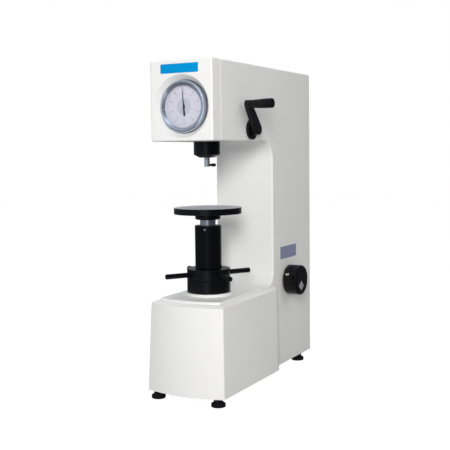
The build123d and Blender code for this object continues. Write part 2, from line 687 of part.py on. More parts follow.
def cradle_guide():
    bore, top = CRADLE_ROD_R + FIT, CRADLE_GUIDE_TOP_Z
    post = turned([(bore, FLOOR_Z), (20, FLOOR_Z), (20, FLOOR_Z + 8), (11, FLOOR_Z + 14),
                   (11, top), (bore, top)])
    return Pos(0, CRADLE_ROD_Y, 0) * post


# --- elevating screw, table and handwheel ----------------------------------------------
def screw_guide():
    """Bush with the key that stops the screw from turning."""
    bush = ring(NUT_R, SCREW_R + FIT, SHOULDER_Z - 20, BOSS_TOP_Z)
    half = KEYWAY / 2 - FIT
    key = block(-half, half, SCREW_R - KEYWAY_DEPTH + 0.2, SCREW_R + 1,
                SHOULDER_Z - 18, BOSS_TOP_Z - 2)
    return bush + key


def bearing_housing():
    return turned([
        (SCREW_R + 2, BOSS_TOP_Z), (HUB_R, BOSS_TOP_Z), (HUB_R, HOUSING_TOP_Z),
        (HUB_R - HOUSING_WALL, HOUSING_TOP_Z), (HUB_R - HOUSING_WALL, BOSS_TOP_Z + HOUSING_FLOOR),
        (SCREW_R + 2, BOSS_TOP_Z + HOUSING_FLOOR)])


def thrust_bearing():
    """Lower race and shielded ball cage, closed as bought."""
    low = BOSS_TOP_Z + HOUSING_FLOOR
    step, top = low + 4, low + BEARING_T
    cage_r, cage_bore = RACE_R - 2, RACE_BORE + 2
    return turned([
        (RACE_BORE, low), (RACE_R, low), (RACE_R, step), (cage_r, step), (cage_r, top),
        (cage_bore, top), (cage_bore, step), (RACE_BORE, step)])


def upper_race():
    return ring(RACE_R, RACE_BORE, RACE_LOW_Z, NUT_LOW_Z)


def elevating_nut():
    return ring(NUT_R, SCREW_R + FIT, NUT_LOW_Z, HUB_TOP_Z)


def rod_places():
    return [ROD_ANGLE + index * 360 / ROD_COUNT for index in range(ROD_COUNT)]


def handwheel_hub():
    skirt = HUB_R - HUB_SKIRT
    hub = turned([
        (NUT_R, NUT_LOW_Z), (skirt, NUT_LOW_Z), (skirt, HUB_LOW_Z), (HUB_R - 0.8, HUB_LOW_Z),
        (HUB_R, HUB_LOW_Z + 0.8), (HUB_R, HUB_TOP_Z - 1.6), (HUB_R - 1.6, HUB_TOP_Z),
        (NUT_R, HUB_TOP_Z)])
    for angle in rod_places():
        hub -= outwards(angle, ROD_Z) * rod(ROD_R, ROD_ROOT, ROD_TIP)
    return hub


def handwheel_rods():
    bar = turned([(0, ROD_ROOT), (ROD_R, ROD_ROOT), (ROD_R, ROD_TIP - 2.6),
                  (ROD_R - 0.8, ROD_TIP - 0.8), (ROD_R - 2.6, ROD_TIP), (0, ROD_TIP)])
    return Compound([outwards(angle, ROD_Z) * bar for angle in rod_places()])


def elevating_screw():
    bar = rod(SCREW_R, SCREW_LOW_Z, SCREW_TOP_Z)
    bar = chamfer(bar.edges().group_by(Axis.Z)[0], 1.5)
    bar -= rod(SHANK_R + FIT, SCREW_TOP_Z - SHANK_LENGTH - 0.6, SCREW_TOP_Z + 1)
    half = KEYWAY / 2
    return bar - block(-half, half, SCREW_R - KEYWAY_DEPTH, SCREW_R + 1, SCREW_LOW_Z - 1, 300)


def screw_sleeve():
    bore, step = SLEEVE_R - SLEEVE_WALL, SLEEVE_TOP_Z - SLEEVE_HEAD
    sleeve = turned([
        (bore, SLEEVE_LOW_Z), (SLEEVE_R, SLEEVE_LOW_Z), (SLEEVE_R, SLEEVE_TOP_Z - 1),
        (SLEEVE_R - 1, SLEEVE_TOP_Z), (SCREW_R, SLEEVE_TOP_Z), (SCREW_R, step), (bore, step)])
    hole = rod(SLEEVE_SCREW_R, 0, SLEEVE_R + 1)
    return sleeve - outwards(SLEEVE_SCREW_ANGLE, SLEEVE_SCREW_Z) * hole


def sleeve_screw():
    pin = rod(SLEEVE_SCREW_R, SCREW_R + 0.2, SLEEVE_R + 0.2)
    return outwards(SLEEVE_SCREW_ANGLE, SLEEVE_SCREW_Z) * pin


def test_table():
    return turned([
        (0, SCREW_TOP_Z - SHANK_LENGTH), (SHANK_R, SCREW_TOP_Z - SHANK_LENGTH),
        (SHANK_R, SCREW_TOP_Z), (TABLE_HUB_R - 2, SCREW_TOP_Z), (TABLE_HUB_R, SCREW_TOP_Z + 2),
        (TABLE_HUB_R, TABLE_LOW_Z), (TABLE_R - 0.8, TABLE_LOW_Z), (TABLE_R, TABLE_LOW_Z + 0.8),
        (TABLE_R, TABLE_TOP_Z - 0.8), (TABLE_R - 0.8, TABLE_TOP_Z), (0, TABLE_TOP_Z)])


NODES = {
    "frame_casting": frame_casting, "front_cover": front_cover, "top_cover": top_cover,
    "rear_cover": rear_cover, "cover_screws": cover_screws, "feet": feet,
    "foot_studs": foot_studs, "nose_housing": nose_housing, "spindle_bush": spindle_bush,
    "spindle": spindle, "indenter_screw": thumb_screw,
    "dial_case": dial_case, "dial_movement": dial_movement, "bezel": bezel,
    "glass_spacer": glass_spacer, "dial_face": dial_face, "dial_glass": dial_glass,
    "long_pointer": long_pointer, "small_pointer": small_pointer, "dial_plunger": dial_plunger,
    "main_lever": main_lever, "knife_edges": knife_edges, "cam_follower": cam_follower,
    "fulcrum_block": fulcrum_block, "weight_hanger": weight_hanger,
    "weight_low": lambda: weight(0), "weight_middle": lambda: weight(1),
    "weight_top": lambda: weight(2),
    "dashpot_cylinder": dashpot_cylinder, "dashpot_piston": dashpot_piston,
    "measuring_lever": measuring_lever, "measuring_pivot": measuring_pivot,
    "crank_shaft": crank_shaft, "shaft_bearing": shaft_bearing, "crank_bush": crank_bush,
    "crank_flange": crank_flange, "crank_arm": crank_arm, "grip_pin": grip_pin, "grip": grip,
    "selector_shaft": selector_shaft, "selector_bush": selector_bush,
    "selector_cam": selector_cam, "force_knob": force_knob, "knob_pointer": knob_pointer,
    "weight_cradle": weight_cradle, "cradle_guide": cradle_guide,
    "screw_guide": screw_guide, "bearing_housing": bearing_housing,
    "thrust_bearing": thrust_bearing, "upper_race": upper_race,
    "elevating_nut": elevating_nut, "handwheel_hub": handwheel_hub,
    "handwheel_rods": handwheel_rods, "elevating_screw": elevating_screw,
    "screw_sleeve": screw_sleeve, "sleeve_screw": sleeve_screw, "test_table": test_table,
}

os.makedirs("parts", exist_ok=True)
for name, build in NODES.items():
    piece = Pos(-ORIGIN_X, -ORIGIN_Y, 0) * build()
    piece.label = name
    export_step(piece, f"parts/{name}.step")
    print(name)
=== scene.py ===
# %% [markdown]
# A bench hardness tester presses a point into a metal sample with a known load
# and reads the depth on a dial. The frame brings in every solid piece at its
# real size and place. This lesson dresses those pieces: first a camera and soft
# light, then finishes made from shader nodes, then finer meshes piece by piece.

# %% Load the frame
import json
import math

import bmesh
import bpy
from mathutils import Matrix, Vector

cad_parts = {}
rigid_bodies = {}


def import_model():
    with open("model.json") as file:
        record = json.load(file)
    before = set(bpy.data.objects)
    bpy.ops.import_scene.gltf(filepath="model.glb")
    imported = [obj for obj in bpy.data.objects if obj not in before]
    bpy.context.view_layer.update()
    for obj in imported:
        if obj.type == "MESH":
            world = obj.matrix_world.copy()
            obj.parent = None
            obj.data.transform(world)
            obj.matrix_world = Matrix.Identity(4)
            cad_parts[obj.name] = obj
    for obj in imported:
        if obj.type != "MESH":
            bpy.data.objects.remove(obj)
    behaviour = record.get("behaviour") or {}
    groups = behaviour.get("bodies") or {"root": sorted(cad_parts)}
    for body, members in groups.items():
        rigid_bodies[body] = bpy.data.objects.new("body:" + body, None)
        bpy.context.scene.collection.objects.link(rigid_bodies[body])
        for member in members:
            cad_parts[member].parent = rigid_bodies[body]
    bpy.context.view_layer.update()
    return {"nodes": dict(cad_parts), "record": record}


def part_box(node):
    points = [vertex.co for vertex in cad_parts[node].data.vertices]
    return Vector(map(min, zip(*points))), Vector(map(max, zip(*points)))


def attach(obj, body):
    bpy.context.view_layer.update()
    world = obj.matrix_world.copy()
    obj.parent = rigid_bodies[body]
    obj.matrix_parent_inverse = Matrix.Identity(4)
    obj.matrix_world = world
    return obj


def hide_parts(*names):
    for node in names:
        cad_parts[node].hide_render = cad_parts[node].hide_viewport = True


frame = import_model()
NODES = frame["nodes"]
MM = 0.001

# %% [markdown]
# Nearly everything on this machine is turned on a lathe, so the script keeps
# two landmarks: the vertical test axis that runs through spindle, table and
# screw, and the sideways axes of crank and knob. They are read from the frame's
# boxes, so a piece can't drift away from what carries it.

# %% Landmarks
SIDEWAYS = Matrix.Rotation(math.radians(90), 4, "Y")
TO_FRONT = Matrix.Rotation(math.radians(90), 4, "X")
IN_PLACE = Matrix.Identity(4)


def middle(node):
    """Centre of a node's box, in metres."""
    low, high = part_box(node)
    return (low + high) / 2


def heights(node):
    """Lowest and highest point of a node, in millimetres."""
    low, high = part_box(node)
    return low.z / MM, high.z / MM


def side_axis(node):
    """Turning axis that starts at a node's inner face, and its length in mm."""
    low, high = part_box(node)
    start = (low.x, middle(node).y, middle(node).z)
    return Matrix.Translation(start) @ SIDEWAYS, (high.x - low.x) / MM


TEST_AXIS = Matrix.Translation((middle("spindle").x, middle("spindle").y, 0))
dial_centre = middle("dial_face")
DIAL = Matrix.Translation((dial_centre.x, middle("spindle").y, dial_centre.z)) @ TO_FRONT
print("test axis", TEST_AXIS.translation[:2])

# %% [markdown]
# The camera stands in front of the machine, a little to its right and just
# above the table. A long lens keeps the verticals nearly parallel. Turning
# about the upright axis, then tipping, then rolling gives its pose in three
# readable steps.

# %% Camera
CAMERA_PLACE = (0.776508, -1.528241, 0.464022)
CAMERA_YAW = math.radians(28.4937)
CAMERA_DOWN = math.radians(4.9632)
CAMERA_ROLL = math.radians(-0.7169)
LENS_MM, SENSOR_MM = 67.84, 36

lens = bpy.data.cameras.new("front_camera")
lens.lens = LENS_MM
lens.sensor_width = SENSOR_MM
camera = bpy.data.objects.new("front_camera", lens)
bpy.context.collection.objects.link(camera)
camera.matrix_world = (
    Matrix.Translation(CAMERA_PLACE)
    @ Matrix.Rotation(CAMERA_YAW, 4, "Z")
    @ Matrix.Rotation(math.radians(90) - CAMERA_DOWN, 4, "X")
    @ Matrix.Rotation(CAMERA_ROLL, 4, "Z"))
bpy.context.scene.camera = camera
bpy.context.scene.view_settings.view_transform = "Standard"
print("camera", CAMERA_PLACE)

# %% [markdown]
# A studio for white enamel needs little contrast: a broad key light near the
# camera, an overhead sheet, and weak fills at both sides. Area lamps are aimed
# by turning their -Z towards a target with to_track_quat. They are hidden from
# mirror rays, because the room alone draws the reflections. The lid faces the
# overhead sheet, so that lamp is the one to turn down if white starts to clip.

# %% Lamps
TARGET = Vector((0, 0, 0.36))


def soft_lamp(name, place, width, height, power, colour=(1, 1, 1)):
    """Rectangular area lamp that looks at the machine's middle."""
    lamp = bpy.data.lights.new(name, "AREA")
    lamp.shape = "RECTANGLE"
    lamp.size = width
    lamp.size_y = height
    lamp.energy = power
    lamp.color = colour
    stand = bpy.data.objects.new(name, lamp)
    bpy.context.collection.objects.link(stand)
    aim = (TARGET - Vector(place)).to_track_quat("-Z", "Y")
    stand.matrix_world = Matrix.Translation(place) @ aim.to_matrix().to_4x4()
    stand.visible_glossy = False


soft_lamp("key_light", (1.0, -2.1, 1.0), 0.5, 0.8, 45.5, (1.0, 0.99, 0.985))
soft_lamp("overhead_light", (-0.3, 0.35, 2.3), 1.4, 1.0, 25)
soft_lamp("side_fill", (2.3, 0.4, 1.7), 1.4, 1.4, 11)
soft_lamp("cool_fill", (-1.7, -1.5, 0.7), 0.8, 1.2, 3, (0.85, 0.93, 1.0))
print("lamps", len(bpy.data.lights))

# %% [markdown]
# Shader trees are built from a few short helpers: one adds a node, one does
# sums, one mixes colours, and one starts a material. A socket is given by its
# name, and gets either a constant or a link, as the value asks for.

# %% Node helpers
MIX_FIRST, MIX_SECOND, MIX_RESULT = 6, 7, 2  # the Mix node's colour sockets
WHITE = (1.0, 1.0, 1.0)


def feed(socket, value):
    """Link another node's output to a socket, or set it to a constant."""
    if isinstance(value, bpy.types.NodeSocket):
        socket.id_data.links.new(value, socket)
    else:
        socket.default_value = (*value, 1) if socket.type == "RGBA" else value


def set_sockets(node, **sockets):
    for name, value in sockets.items():
        feed(node.inputs[name.replace("_", " ")], value)
    return node


def add_node(tree, kind, settings=None, **sockets):
    """Add a node, set its options, then its sockets by name."""
    node = tree.nodes.new(kind)
    for name, value in (settings or {}).items():
        setattr(node, name, value)
    return set_sockets(node, **sockets)


def add_math(tree, operation, first, second=None):
    node = add_node(tree, "ShaderNodeMath", {"operation": operation})
    feed(node.inputs[0], first)
    if second is not None:
        feed(node.inputs[1], second)
    return node.outputs[0]


def mix_colours(tree, factor, first, second):
    mix = add_node(tree, "ShaderNodeMix", {"data_type": "RGBA"}, Factor=factor)
    feed(mix.inputs[MIX_FIRST], first)
    feed(mix.inputs[MIX_SECOND], second)
    return mix.outputs[MIX_RESULT]


def new_finish(name, colour, **sockets):
    """Principled material; gives the material, its tree and its shader node."""
    material = bpy.data.materials.new(name)
    material.use_nodes = True
    shader = material.node_tree.nodes["Principled BSDF"]
    return material, material.node_tree, set_sockets(shader, Base_Color=colour, **sockets)


# %% [markdown]
# The room is seen in three ways, and Light Path tells the rays apart. The
# camera sees plain white. Diffuse surfaces get a dim, even fill. Mirror-like
# surfaces see a dark studio with a few paler regions: a tall, cool window in
# front, which draws an upright highlight on every round bar, a card at the
# left, a sheet overhead and the sweep behind the machine. The dark rest keeps
# black lacquer deep. Each region fades in between two numbers, which say how
# far the ray points its way.

# %% Room light
ROOM_FILL = (0.27, 0.27, 0.27)
DARK_STUDIO = (0.030, 0.036, 0.052)
PALE_SWEEP = (0.42, 0.44, 0.48)
LEFT_CARD = (0.31, 0.34, 0.40)
OVERHEAD_SHEET = (0.38, 0.42, 0.48)
WINDOW = (0.98, 1.07, 1.24)
AWAY_FROM_CAMERA = (-0.477, 0.879, 0.0)
TO_CARD = (-0.80, -0.60, 0.0)
UPWARDS = (0.0, 0.0, 1.0)
TO_WINDOW = (0.309, -0.951, 0.0)
BESIDE_WINDOW = (0.951, 0.309, 0.0)

room = bpy.data.worlds.new("studio_room")
bpy.context.scene.world = room
room.use_nodes = True
tree = room.node_tree
tree.nodes.clear()
paths = add_node(tree, "ShaderNodeLightPath")
direction = add_node(tree, "ShaderNodeTexCoord").outputs["Generated"]


def along(axis, low, high):
    """How far the seen direction points along an axis, eased from 0 to 1."""
    facing = add_node(tree, "ShaderNodeVectorMath", {"operation": "DOT_PRODUCT"})
    feed(facing.inputs[0], direction)
    feed(facing.inputs[1], axis)
    reach = facing.outputs["Value"]
    if low > high:  # a band on both sides of the plane across the axis
        reach = add_math(tree, "ABSOLUTE", reach)
    ease = add_node(tree, "ShaderNodeMapRange", {"interpolation_type": "SMOOTHSTEP"},
                    Value=reach, From_Min=low, From_Max=high)
    return ease.outputs["Result"]


window = add_math(
    tree, "MULTIPLY", along(TO_WINDOW, 0.4, 0.7), along(BESIDE_WINDOW, 0.30, 0.10))
mirrored = mix_colours(tree, along(AWAY_FROM_CAMERA, 0.5, 0.97), DARK_STUDIO, PALE_SWEEP)
mirrored = mix_colours(tree, along(TO_CARD, 0.35, 0.9), mirrored, LEFT_CARD)
mirrored = mix_colours(tree, along(UPWARDS, 0.45, 0.9), mirrored, OVERHEAD_SHEET)
mirrored = mix_colours(tree, window, mirrored, WINDOW)
seen = mix_colours(tree, paths.outputs["Is Glossy Ray"], ROOM_FILL, mirrored)
plain = add_math(
    tree, "MAXIMUM", paths.outputs["Is Camera Ray"], paths.outputs["Is Transmission Ray"])
light = add_node(tree, "ShaderNodeBackground", Color=mix_colours(tree, plain, seen, WHITE))
add_node(tree, "ShaderNodeOutputWorld", Surface=light.outputs[0])
print("room nodes", len(tree.nodes))

# %% [markdown]
# The floor has to melt into the white background and still hold a faint
# contact shadow. For the camera it is mostly a white glow with a thin share of
# ordinary paint, and the paint's share is what darkens under the feet. Mirrors
# see it as dark as the room, so that black lacquer stays black.

# %% Floor
FLOOR_SIDE = 10.0
FLOOR_FRONT_Y = -0.95
SHADOW_SHARE = 0.16
FLOOR_GLOW = 1.16
FLOOR_PAINT = (0.45, 0.45, 0.45)


def new_object(name, shape):
    """Linked object with a bmesh's faces; the bmesh is freed."""
    mesh = bpy.data.meshes.new(name)
    shape.to_mesh(mesh)
    shape.free()
    piece = bpy.data.objects.new(name, mesh)
    bpy.context.collection.objects.link(piece)
    return piece


paint, tree, surface = new_finish(
    "studio_floor", FLOOR_PAINT, Roughness=0.9, Specular_IOR_Level=0.1)
rays = add_node(tree, "ShaderNodeLightPath").outputs
tint = mix_colours(tree, rays["Is Glossy Ray"], WHITE, DARK_STUDIO)
glow = add_node(tree, "ShaderNodeEmission", Color=tint, Strength=FLOOR_GLOW)
direct = add_math(tree, "MAXIMUM", rays["Is Camera Ray"], rays["Is Glossy Ray"])
direct = add_math(tree, "MAXIMUM", direct, rays["Is Transmission Ray"])
share = add_math(tree, "MULTIPLY", direct, 1 - SHADOW_SHARE)
blend = add_node(tree, "ShaderNodeMixShader", Fac=share)
feed(blend.inputs[1], surface.outputs[0])
feed(blend.inputs[2], glow.outputs[0])
set_sockets(tree.nodes["Material Output"], Surface=blend.outputs[0])

sheet = bmesh.new()
bmesh.ops.create_grid(sheet, x_segments=1, y_segments=1, size=FLOOR_SIDE / 2)
bmesh.ops.translate(sheet, verts=sheet.verts, vec=(0, FLOOR_FRONT_Y + FLOOR_SIDE / 2, 0))
floor = new_object("studio_floor", sheet)
floor.data.materials.append(paint)
print("floor", FLOOR_SIDE, "m wide")

# %% [markdown]
# Effects that several finishes share are node groups, built once. A group here
# puts out only masks and values, so each material keeps its own shader. All of
# them read Object coordinates: the pieces sit at the origin with their place in
# the mesh, so a pattern stays put when a part moves.

# %% Group helpers


def new_group(name, inputs, outputs):
    """Empty shader group; an input with no default value is a vector."""
    group = bpy.data.node_groups.new(name, "ShaderNodeTree")
    for label, value in inputs.items():
        kind = "NodeSocketVector" if value is None else "NodeSocketFloat"
        socket = group.interface.new_socket(label, in_out="INPUT", socket_type=kind)
        if value is not None:
            socket.default_value = value
    for label in outputs:
        group.interface.new_socket(label, in_out="OUTPUT", socket_type="NodeSocketFloat")
    entry = group.nodes.new("NodeGroupInput")
    return group, entry.outputs, group.nodes.new("NodeGroupOutput")


def object_place(tree):
    return add_node(tree, "ShaderNodeTexCoord").outputs["Object"]


def add_noise(tree, place, scale, detail, roughness=0.5):
    """Noise read at a place, with its scale from a group's input."""
    return add_node(
        tree, "ShaderNodeTexNoise", Vector=place, Scale=scale, Detail=detail,
        Roughness=roughness).outputs["Fac"]


# %% [markdown]
# Sprayed enamel is never perfectly flat. It dries with a fine orange-peel
# ripple over the slow waves of the filled iron beneath, and its white drifts a
# little from batch to batch. Three noises at three sizes give all of that.

# %% Group: sprayed skin
RIPPLE_SHARE, WAVE_SHARE = 0.45, 0.55
group, given, result = new_group(
    "sprayed_skin", {"Ripple Scale": 700.0, "Wave Scale": 55.0, "Drift Scale": 5.0},
    ["Height", "Drift"])
place = object_place(group)
ripple = add_noise(group, place, given["Ripple Scale"], 2.0)
wave = add_noise(group, place, given["Wave Scale"], 1.0)
drift = add_noise(group, place, given["Drift Scale"], 3.0)
ripple = add_math(group, "MULTIPLY", ripple, RIPPLE_SHARE)
wave = add_math(group, "MULTIPLY", wave, WAVE_SHARE)
set_sockets(result, Height=add_math(group, "ADD", ripple, wave), Drift=drift)
sprayed_skin = group
print("group", sprayed_skin.name)

# %% [markdown]
# Hands leave a film that makes gloss uneven. The group stretches one noise
# between a low and a high value, ready to plug into Roughness.

# %% Group: handling film
group, given, result = new_group(
    "handling_film", {"Scale": 24.0, "Low": 0.2, "High": 0.4}, ["Value"])
smears = add_noise(group, object_place(group), given["Scale"], 4.0, 0.6)
stretch = add_node(
    group, "ShaderNodeMapRange", Value=smears, From_Min=0.35, From_Max=0.65,
    To_Min=given["Low"], To_Max=given["High"])
set_sockets(result, Value=stretch.outputs["Result"])
handling_film = group
print("group", handling_film.name)

# %% [markdown]
# Edges wear first. The Bevel node gives the normal that a rounded edge would
# have. Where it differs from the true normal there is an edge, and a noise
# breaks the line up, so that the wear doesn't look drawn on. On blackened steel
# the same lighter edge is also a painted edge highlight, standing in for the
# light that a rounded edge catches.

# %% Group: edge wear and painted edge highlight
SAME_NORMAL, TURNED_NORMAL = 0.995, 0.86
group, given, result = new_group(
    "edge_wear_and_highlight", {"Radius": 0.0008, "Patchiness": 180.0}, ["Mask"])
rounded = add_node(group, "ShaderNodeBevel", {"samples": 4}, Radius=given["Radius"])
true_normal = add_node(group, "ShaderNodeNewGeometry").outputs["Normal"]
likeness = add_node(group, "ShaderNodeVectorMath", {"operation": "DOT_PRODUCT"})
feed(likeness.inputs[0], rounded.outputs["Normal"])
feed(likeness.inputs[1], true_normal)
# The edge mask lightens edges: real wear, and on black oxide also a painted edge highlight.
edge = add_node(
    group, "ShaderNodeMapRange", Value=likeness.outputs["Value"],
    From_Min=SAME_NORMAL, From_Max=TURNED_NORMAL)
patches = add_noise(group, object_place(group), given["Patchiness"], 3.0)
set_sockets(result, Mask=add_math(group, "MULTIPLY", edge.outputs["Result"], patches))
edge_wear_and_highlight = group
print("group", edge_wear_and_highlight.name)

# %% [markdown]
# A lathe tool leaves rings. Seen from the turning axis they depend on two
# lengths only, the radius and the height, so a noise read at (radius, 0,
# height) runs in rings on flat faces and in bands on round sides. A Mapping
# node in each material brings the piece's own axis to the pattern.

# %% Group: turning marks
group, given, result = new_group(
    "turning_marks", {"Vector": None, "Scale": 1600.0}, ["Mask"])
parts = add_node(group, "ShaderNodeSeparateXYZ", Vector=given["Vector"]).outputs
square_x = add_math(group, "POWER", parts["X"], 2.0)
square_y = add_math(group, "POWER", parts["Y"], 2.0)
radius = add_math(group, "SQRT", add_math(group, "ADD", square_x, square_y))
pair = add_node(group, "ShaderNodeCombineXYZ", X=radius, Z=parts["Z"])
rings = add_noise(group, pair.outputs[0], given["Scale"], 3.0, 0.6)
set_sockets(result, Mask=rings)
turning_marks = group
print("group", turning_marks.name)

# %% [markdown]
# Each finish is one function call or one short function. These helpers link
# what changes over a surface: colour, roughness and the bump's height.

# %% Material helpers


def add_group(tree, group, **sockets):
    return add_node(tree, "ShaderNodeGroup", {"node_tree": group}, **sockets)


def vary_colour(tree, shader, mask, first, second):
    """Let the base colour run from the first to the second colour."""
    set_sockets(shader, Base_Color=mix_colours(tree, mask, first, second))


def film_value(tree, scale, low, high):
    """Roughness that the handling film moves between low and high."""
    return add_group(tree, handling_film, Scale=scale, Low=low, High=high).outputs["Value"]


def vary_gloss(tree, shader, scale, low, high):
    set_sockets(shader, Roughness=film_value(tree, scale, low, high))


def add_bump(tree, shader, height, depth):
    """Bump of a real depth, in metres, on the shader's normal."""
    bump = add_node(tree, "ShaderNodeBump", Strength=1.0, Distance=depth, Height=height)
    set_sockets(shader, Normal=bump.outputs["Normal"])


def ring_mask(tree, turning_frame, scale):
    """Turning marks around the axis that a frame gives."""
    back = turning_frame.inverted()
    seen_from_axis = add_node(
        tree, "ShaderNodeMapping", Vector=object_place(tree), Location=back.translation,
        Rotation=back.to_euler()).outputs["Vector"]
    return add_group(tree, turning_marks, Vector=seen_from_axis, Scale=scale).outputs["Mask"]


# %% [markdown]
# The body is cast iron under several coats of white enamel. A thin clear coat
# gives the soft double highlight of baked paint, the skin group its ripple, and
# a slightly warmer, darker white drifts through it. The covers are sheet metal,
# smoother and a touch whiter than the casting.

# %% Finish: enamel


def enamel(name, white, shade, ripple_depth):
    material, tree, shader = new_finish(
        name, white, Coat_Weight=0.25, Coat_Roughness=0.18, Specular_IOR_Level=0.45)
    skin = add_group(tree, sprayed_skin)
    vary_colour(tree, shader, skin.outputs["Drift"], shade, white)
    vary_gloss(tree, shader, 9.0, 0.34, 0.46)
    add_bump(tree, shader, skin.outputs["Height"], ripple_depth)
    return material


CAST_ENAMEL = enamel("cast_enamel", (0.81, 0.81, 0.795), (0.77, 0.77, 0.752), 0.00035)
COVER_ENAMEL = enamel("cover_enamel", (0.825, 0.825, 0.815), (0.795, 0.795, 0.782), 0.00015)
print("enamels", CAST_ENAMEL.name, COVER_ENAMEL.name)

# %% [markdown]
# Handwheel, nose and crank are blackened steel, oiled and smooth. Rubbed edges
# show a hint of grey metal, which is partly real wear and partly a painted edge
# highlight, and turning rings break up the long highlights.

# %% Finish: black oxide
# The second colour is the grey on the edges: partly rubbed metal, partly a painted edge highlight.
OXIDE_BLACK, OXIDE_WORN_AND_HIGHLIGHT = (0.003, 0.003, 0.004), (0.016, 0.017, 0.02)
OXIDE_RING_DEPTH = 0.00003


def black_oxide(name, turning_frame, low, high, specular):
    material, tree, shader = new_finish(name, OXIDE_BLACK, Specular_IOR_Level=specular)
    # Edge mask: real wear, and on blackened steel also a painted edge highlight.
    wear_and_highlight = add_group(tree, edge_wear_and_highlight).outputs["Mask"]
    vary_colour(tree, shader, wear_and_highlight, OXIDE_BLACK, OXIDE_WORN_AND_HIGHLIGHT)
    vary_gloss(tree, shader, 24.0, low, high)
    add_bump(tree, shader, ring_mask(tree, turning_frame, 1400.0), OXIDE_RING_DEPTH)
    return material


CRANK_AXIS = Matrix.Translation(middle("crank_flange")) @ SIDEWAYS
BLACK_UPRIGHT = black_oxide("black_oxide_upright", TEST_AXIS, 0.26, 0.38, 0.24)
BLACK_SLEEVE = black_oxide("black_oxide_sleeve", TEST_AXIS, 0.3, 0.42, 0.12)
BLACK_CRANK = black_oxide("black_oxide_crank", CRANK_AXIS, 0.24, 0.36, 0.24)
print("black", BLACK_UPRIGHT.name, BLACK_SLEEVE.name, BLACK_CRANK.name)

# %% [markdown]
# Ground steel is a metal with rings in its gloss: the turning marks move both
# the roughness and a very shallow bump, and the handling film dulls patches. A
# metal share below one lets some light scatter, as a fine ground surface does.

# %% Finish: bare metals
RING_DULLNESS, METAL_RING_DEPTH = 0.16, 0.00001


def bare_metal(name, colour, dull, turning_frame, low, high, share=1.0):
    material, tree, shader = new_finish(name, colour, Metallic=share)
    marks = ring_mask(tree, turning_frame, 2200.0)
    ringed = add_math(tree, "MULTIPLY", marks, RING_DULLNESS)
    gloss = add_math(tree, "ADD", ringed, film_value(tree, 30.0, low, high))
    set_sockets(shader, Roughness=gloss)
    vary_colour(tree, shader, marks, dull, colour)
    add_bump(tree, shader, marks, METAL_RING_DEPTH)
    return material


GROUND_STEEL = bare_metal(
    "ground_steel", (0.74, 0.74, 0.76), (0.60, 0.60, 0.62), TEST_AXIS, 0.14, 0.24, 0.88)
TABLE_STEEL = bare_metal(
    "table_steel", (0.70, 0.71, 0.73), (0.58, 0.59, 0.62), TEST_AXIS, 0.5, 0.64, 0.4)
MACHINE_STEEL = bare_metal(
    "machine_steel", (0.52, 0.53, 0.56), (0.42, 0.43, 0.46), TEST_AXIS, 0.22, 0.34, 0.9)
BRONZE = bare_metal(
    "bearing_bronze", (0.66, 0.46, 0.23), (0.52, 0.35, 0.17), TEST_AXIS, 0.25, 0.4)
CHROME = bare_metal(
    "satin_chrome", (0.70, 0.75, 0.83), (0.64, 0.69, 0.77), DIAL, 0.12, 0.20, 0.92)
DIAL_METAL = bare_metal(
    "satin_aluminium", (0.72, 0.73, 0.75), (0.64, 0.65, 0.67), DIAL, 0.28, 0.4)
print("metals", GROUND_STEEL.name, CHROME.name)

# %% [markdown]
# Moulded plastic and rubber are dielectrics: black, with a clean highlight on
# the knob and a broad dull one on the feet. The knob's etched plate is made the
# same way. Printed ink is plainer still: one colour under the handling film.

# %% Finish: plastic, rubber and print
MOULD_FILM, WAVES_PER_GRAIN = 40.0, 8


def moulded(name, colour, worn, low, high, grain_scale, grain_depth, specular):
    material, tree, shader = new_finish(name, colour, Specular_IOR_Level=specular)
    wear_and_highlight = add_group(tree, edge_wear_and_highlight, Radius=0.0006).outputs["Mask"]
    vary_colour(tree, shader, wear_and_highlight, colour, worn)
    vary_gloss(tree, shader, MOULD_FILM, low, high)
    skin = add_group(
        tree, sprayed_skin, Ripple_Scale=grain_scale, Wave_Scale=grain_scale / WAVES_PER_GRAIN)
    add_bump(tree, shader, skin.outputs["Height"], grain_depth)
    return material


def printed(name, colour, film_scale, low=0.5, high=0.62):
    material, tree, shader = new_finish(name, colour)
    vary_gloss(tree, shader, film_scale, low, high)
    return material


BLACK_PLASTIC = moulded(
    "black_plastic", (0.003, 0.0025, 0.0025), (0.02, 0.02, 0.021),
    0.22, 0.36, 900.0, 0.00006, 0.22)
GRIP_PLASTIC = moulded(
    "grip_plastic", (0.003, 0.003, 0.004), (0.02, 0.02, 0.024), 0.24, 0.34, 900.0, 0.00005, 0.22)
FOOT_RUBBER = moulded(
    "foot_rubber", (0.006, 0.005, 0.006), (0.03, 0.028, 0.028), 0.5, 0.7, 1500.0, 0.0002, 0.3)
ETCHED_PLATE = moulded(
    "etched_plate", (0.30, 0.285, 0.30), (0.42, 0.40, 0.42), 0.4, 0.55, 1500.0, 0.00003, 0.3)
PRINT_WHITE = printed("print_white", (0.72, 0.72, 0.72), 300.0, 0.45, 0.6)
POINTER_BLACK = printed("pointer_black", (0.010, 0.011, 0.022), 200.0, 0.25, 0.4)
DIAL_WHITE = printed("dial_white", (0.62, 0.62, 0.70), 60.0)
BLACK_INK = printed("black_ink", (0.06, 0.06, 0.075), 400.0)
RED_INK = printed("red_ink", (0.55, 0.08, 0.07), 400.0)
GREY_PRINT = printed("grey_print", (0.50, 0.525, 0.60), 300.0, 0.5, 0.6)
print("plastics", BLACK_PLASTIC.name, FOOT_RUBBER.name, "ink", BLACK_INK.name)

# %% [markdown]
# Every node that stays from the frame now gets its finish. The record already
# sorts the nodes by material slot, so one table from slot to finish is enough,
# with three exceptions by name.

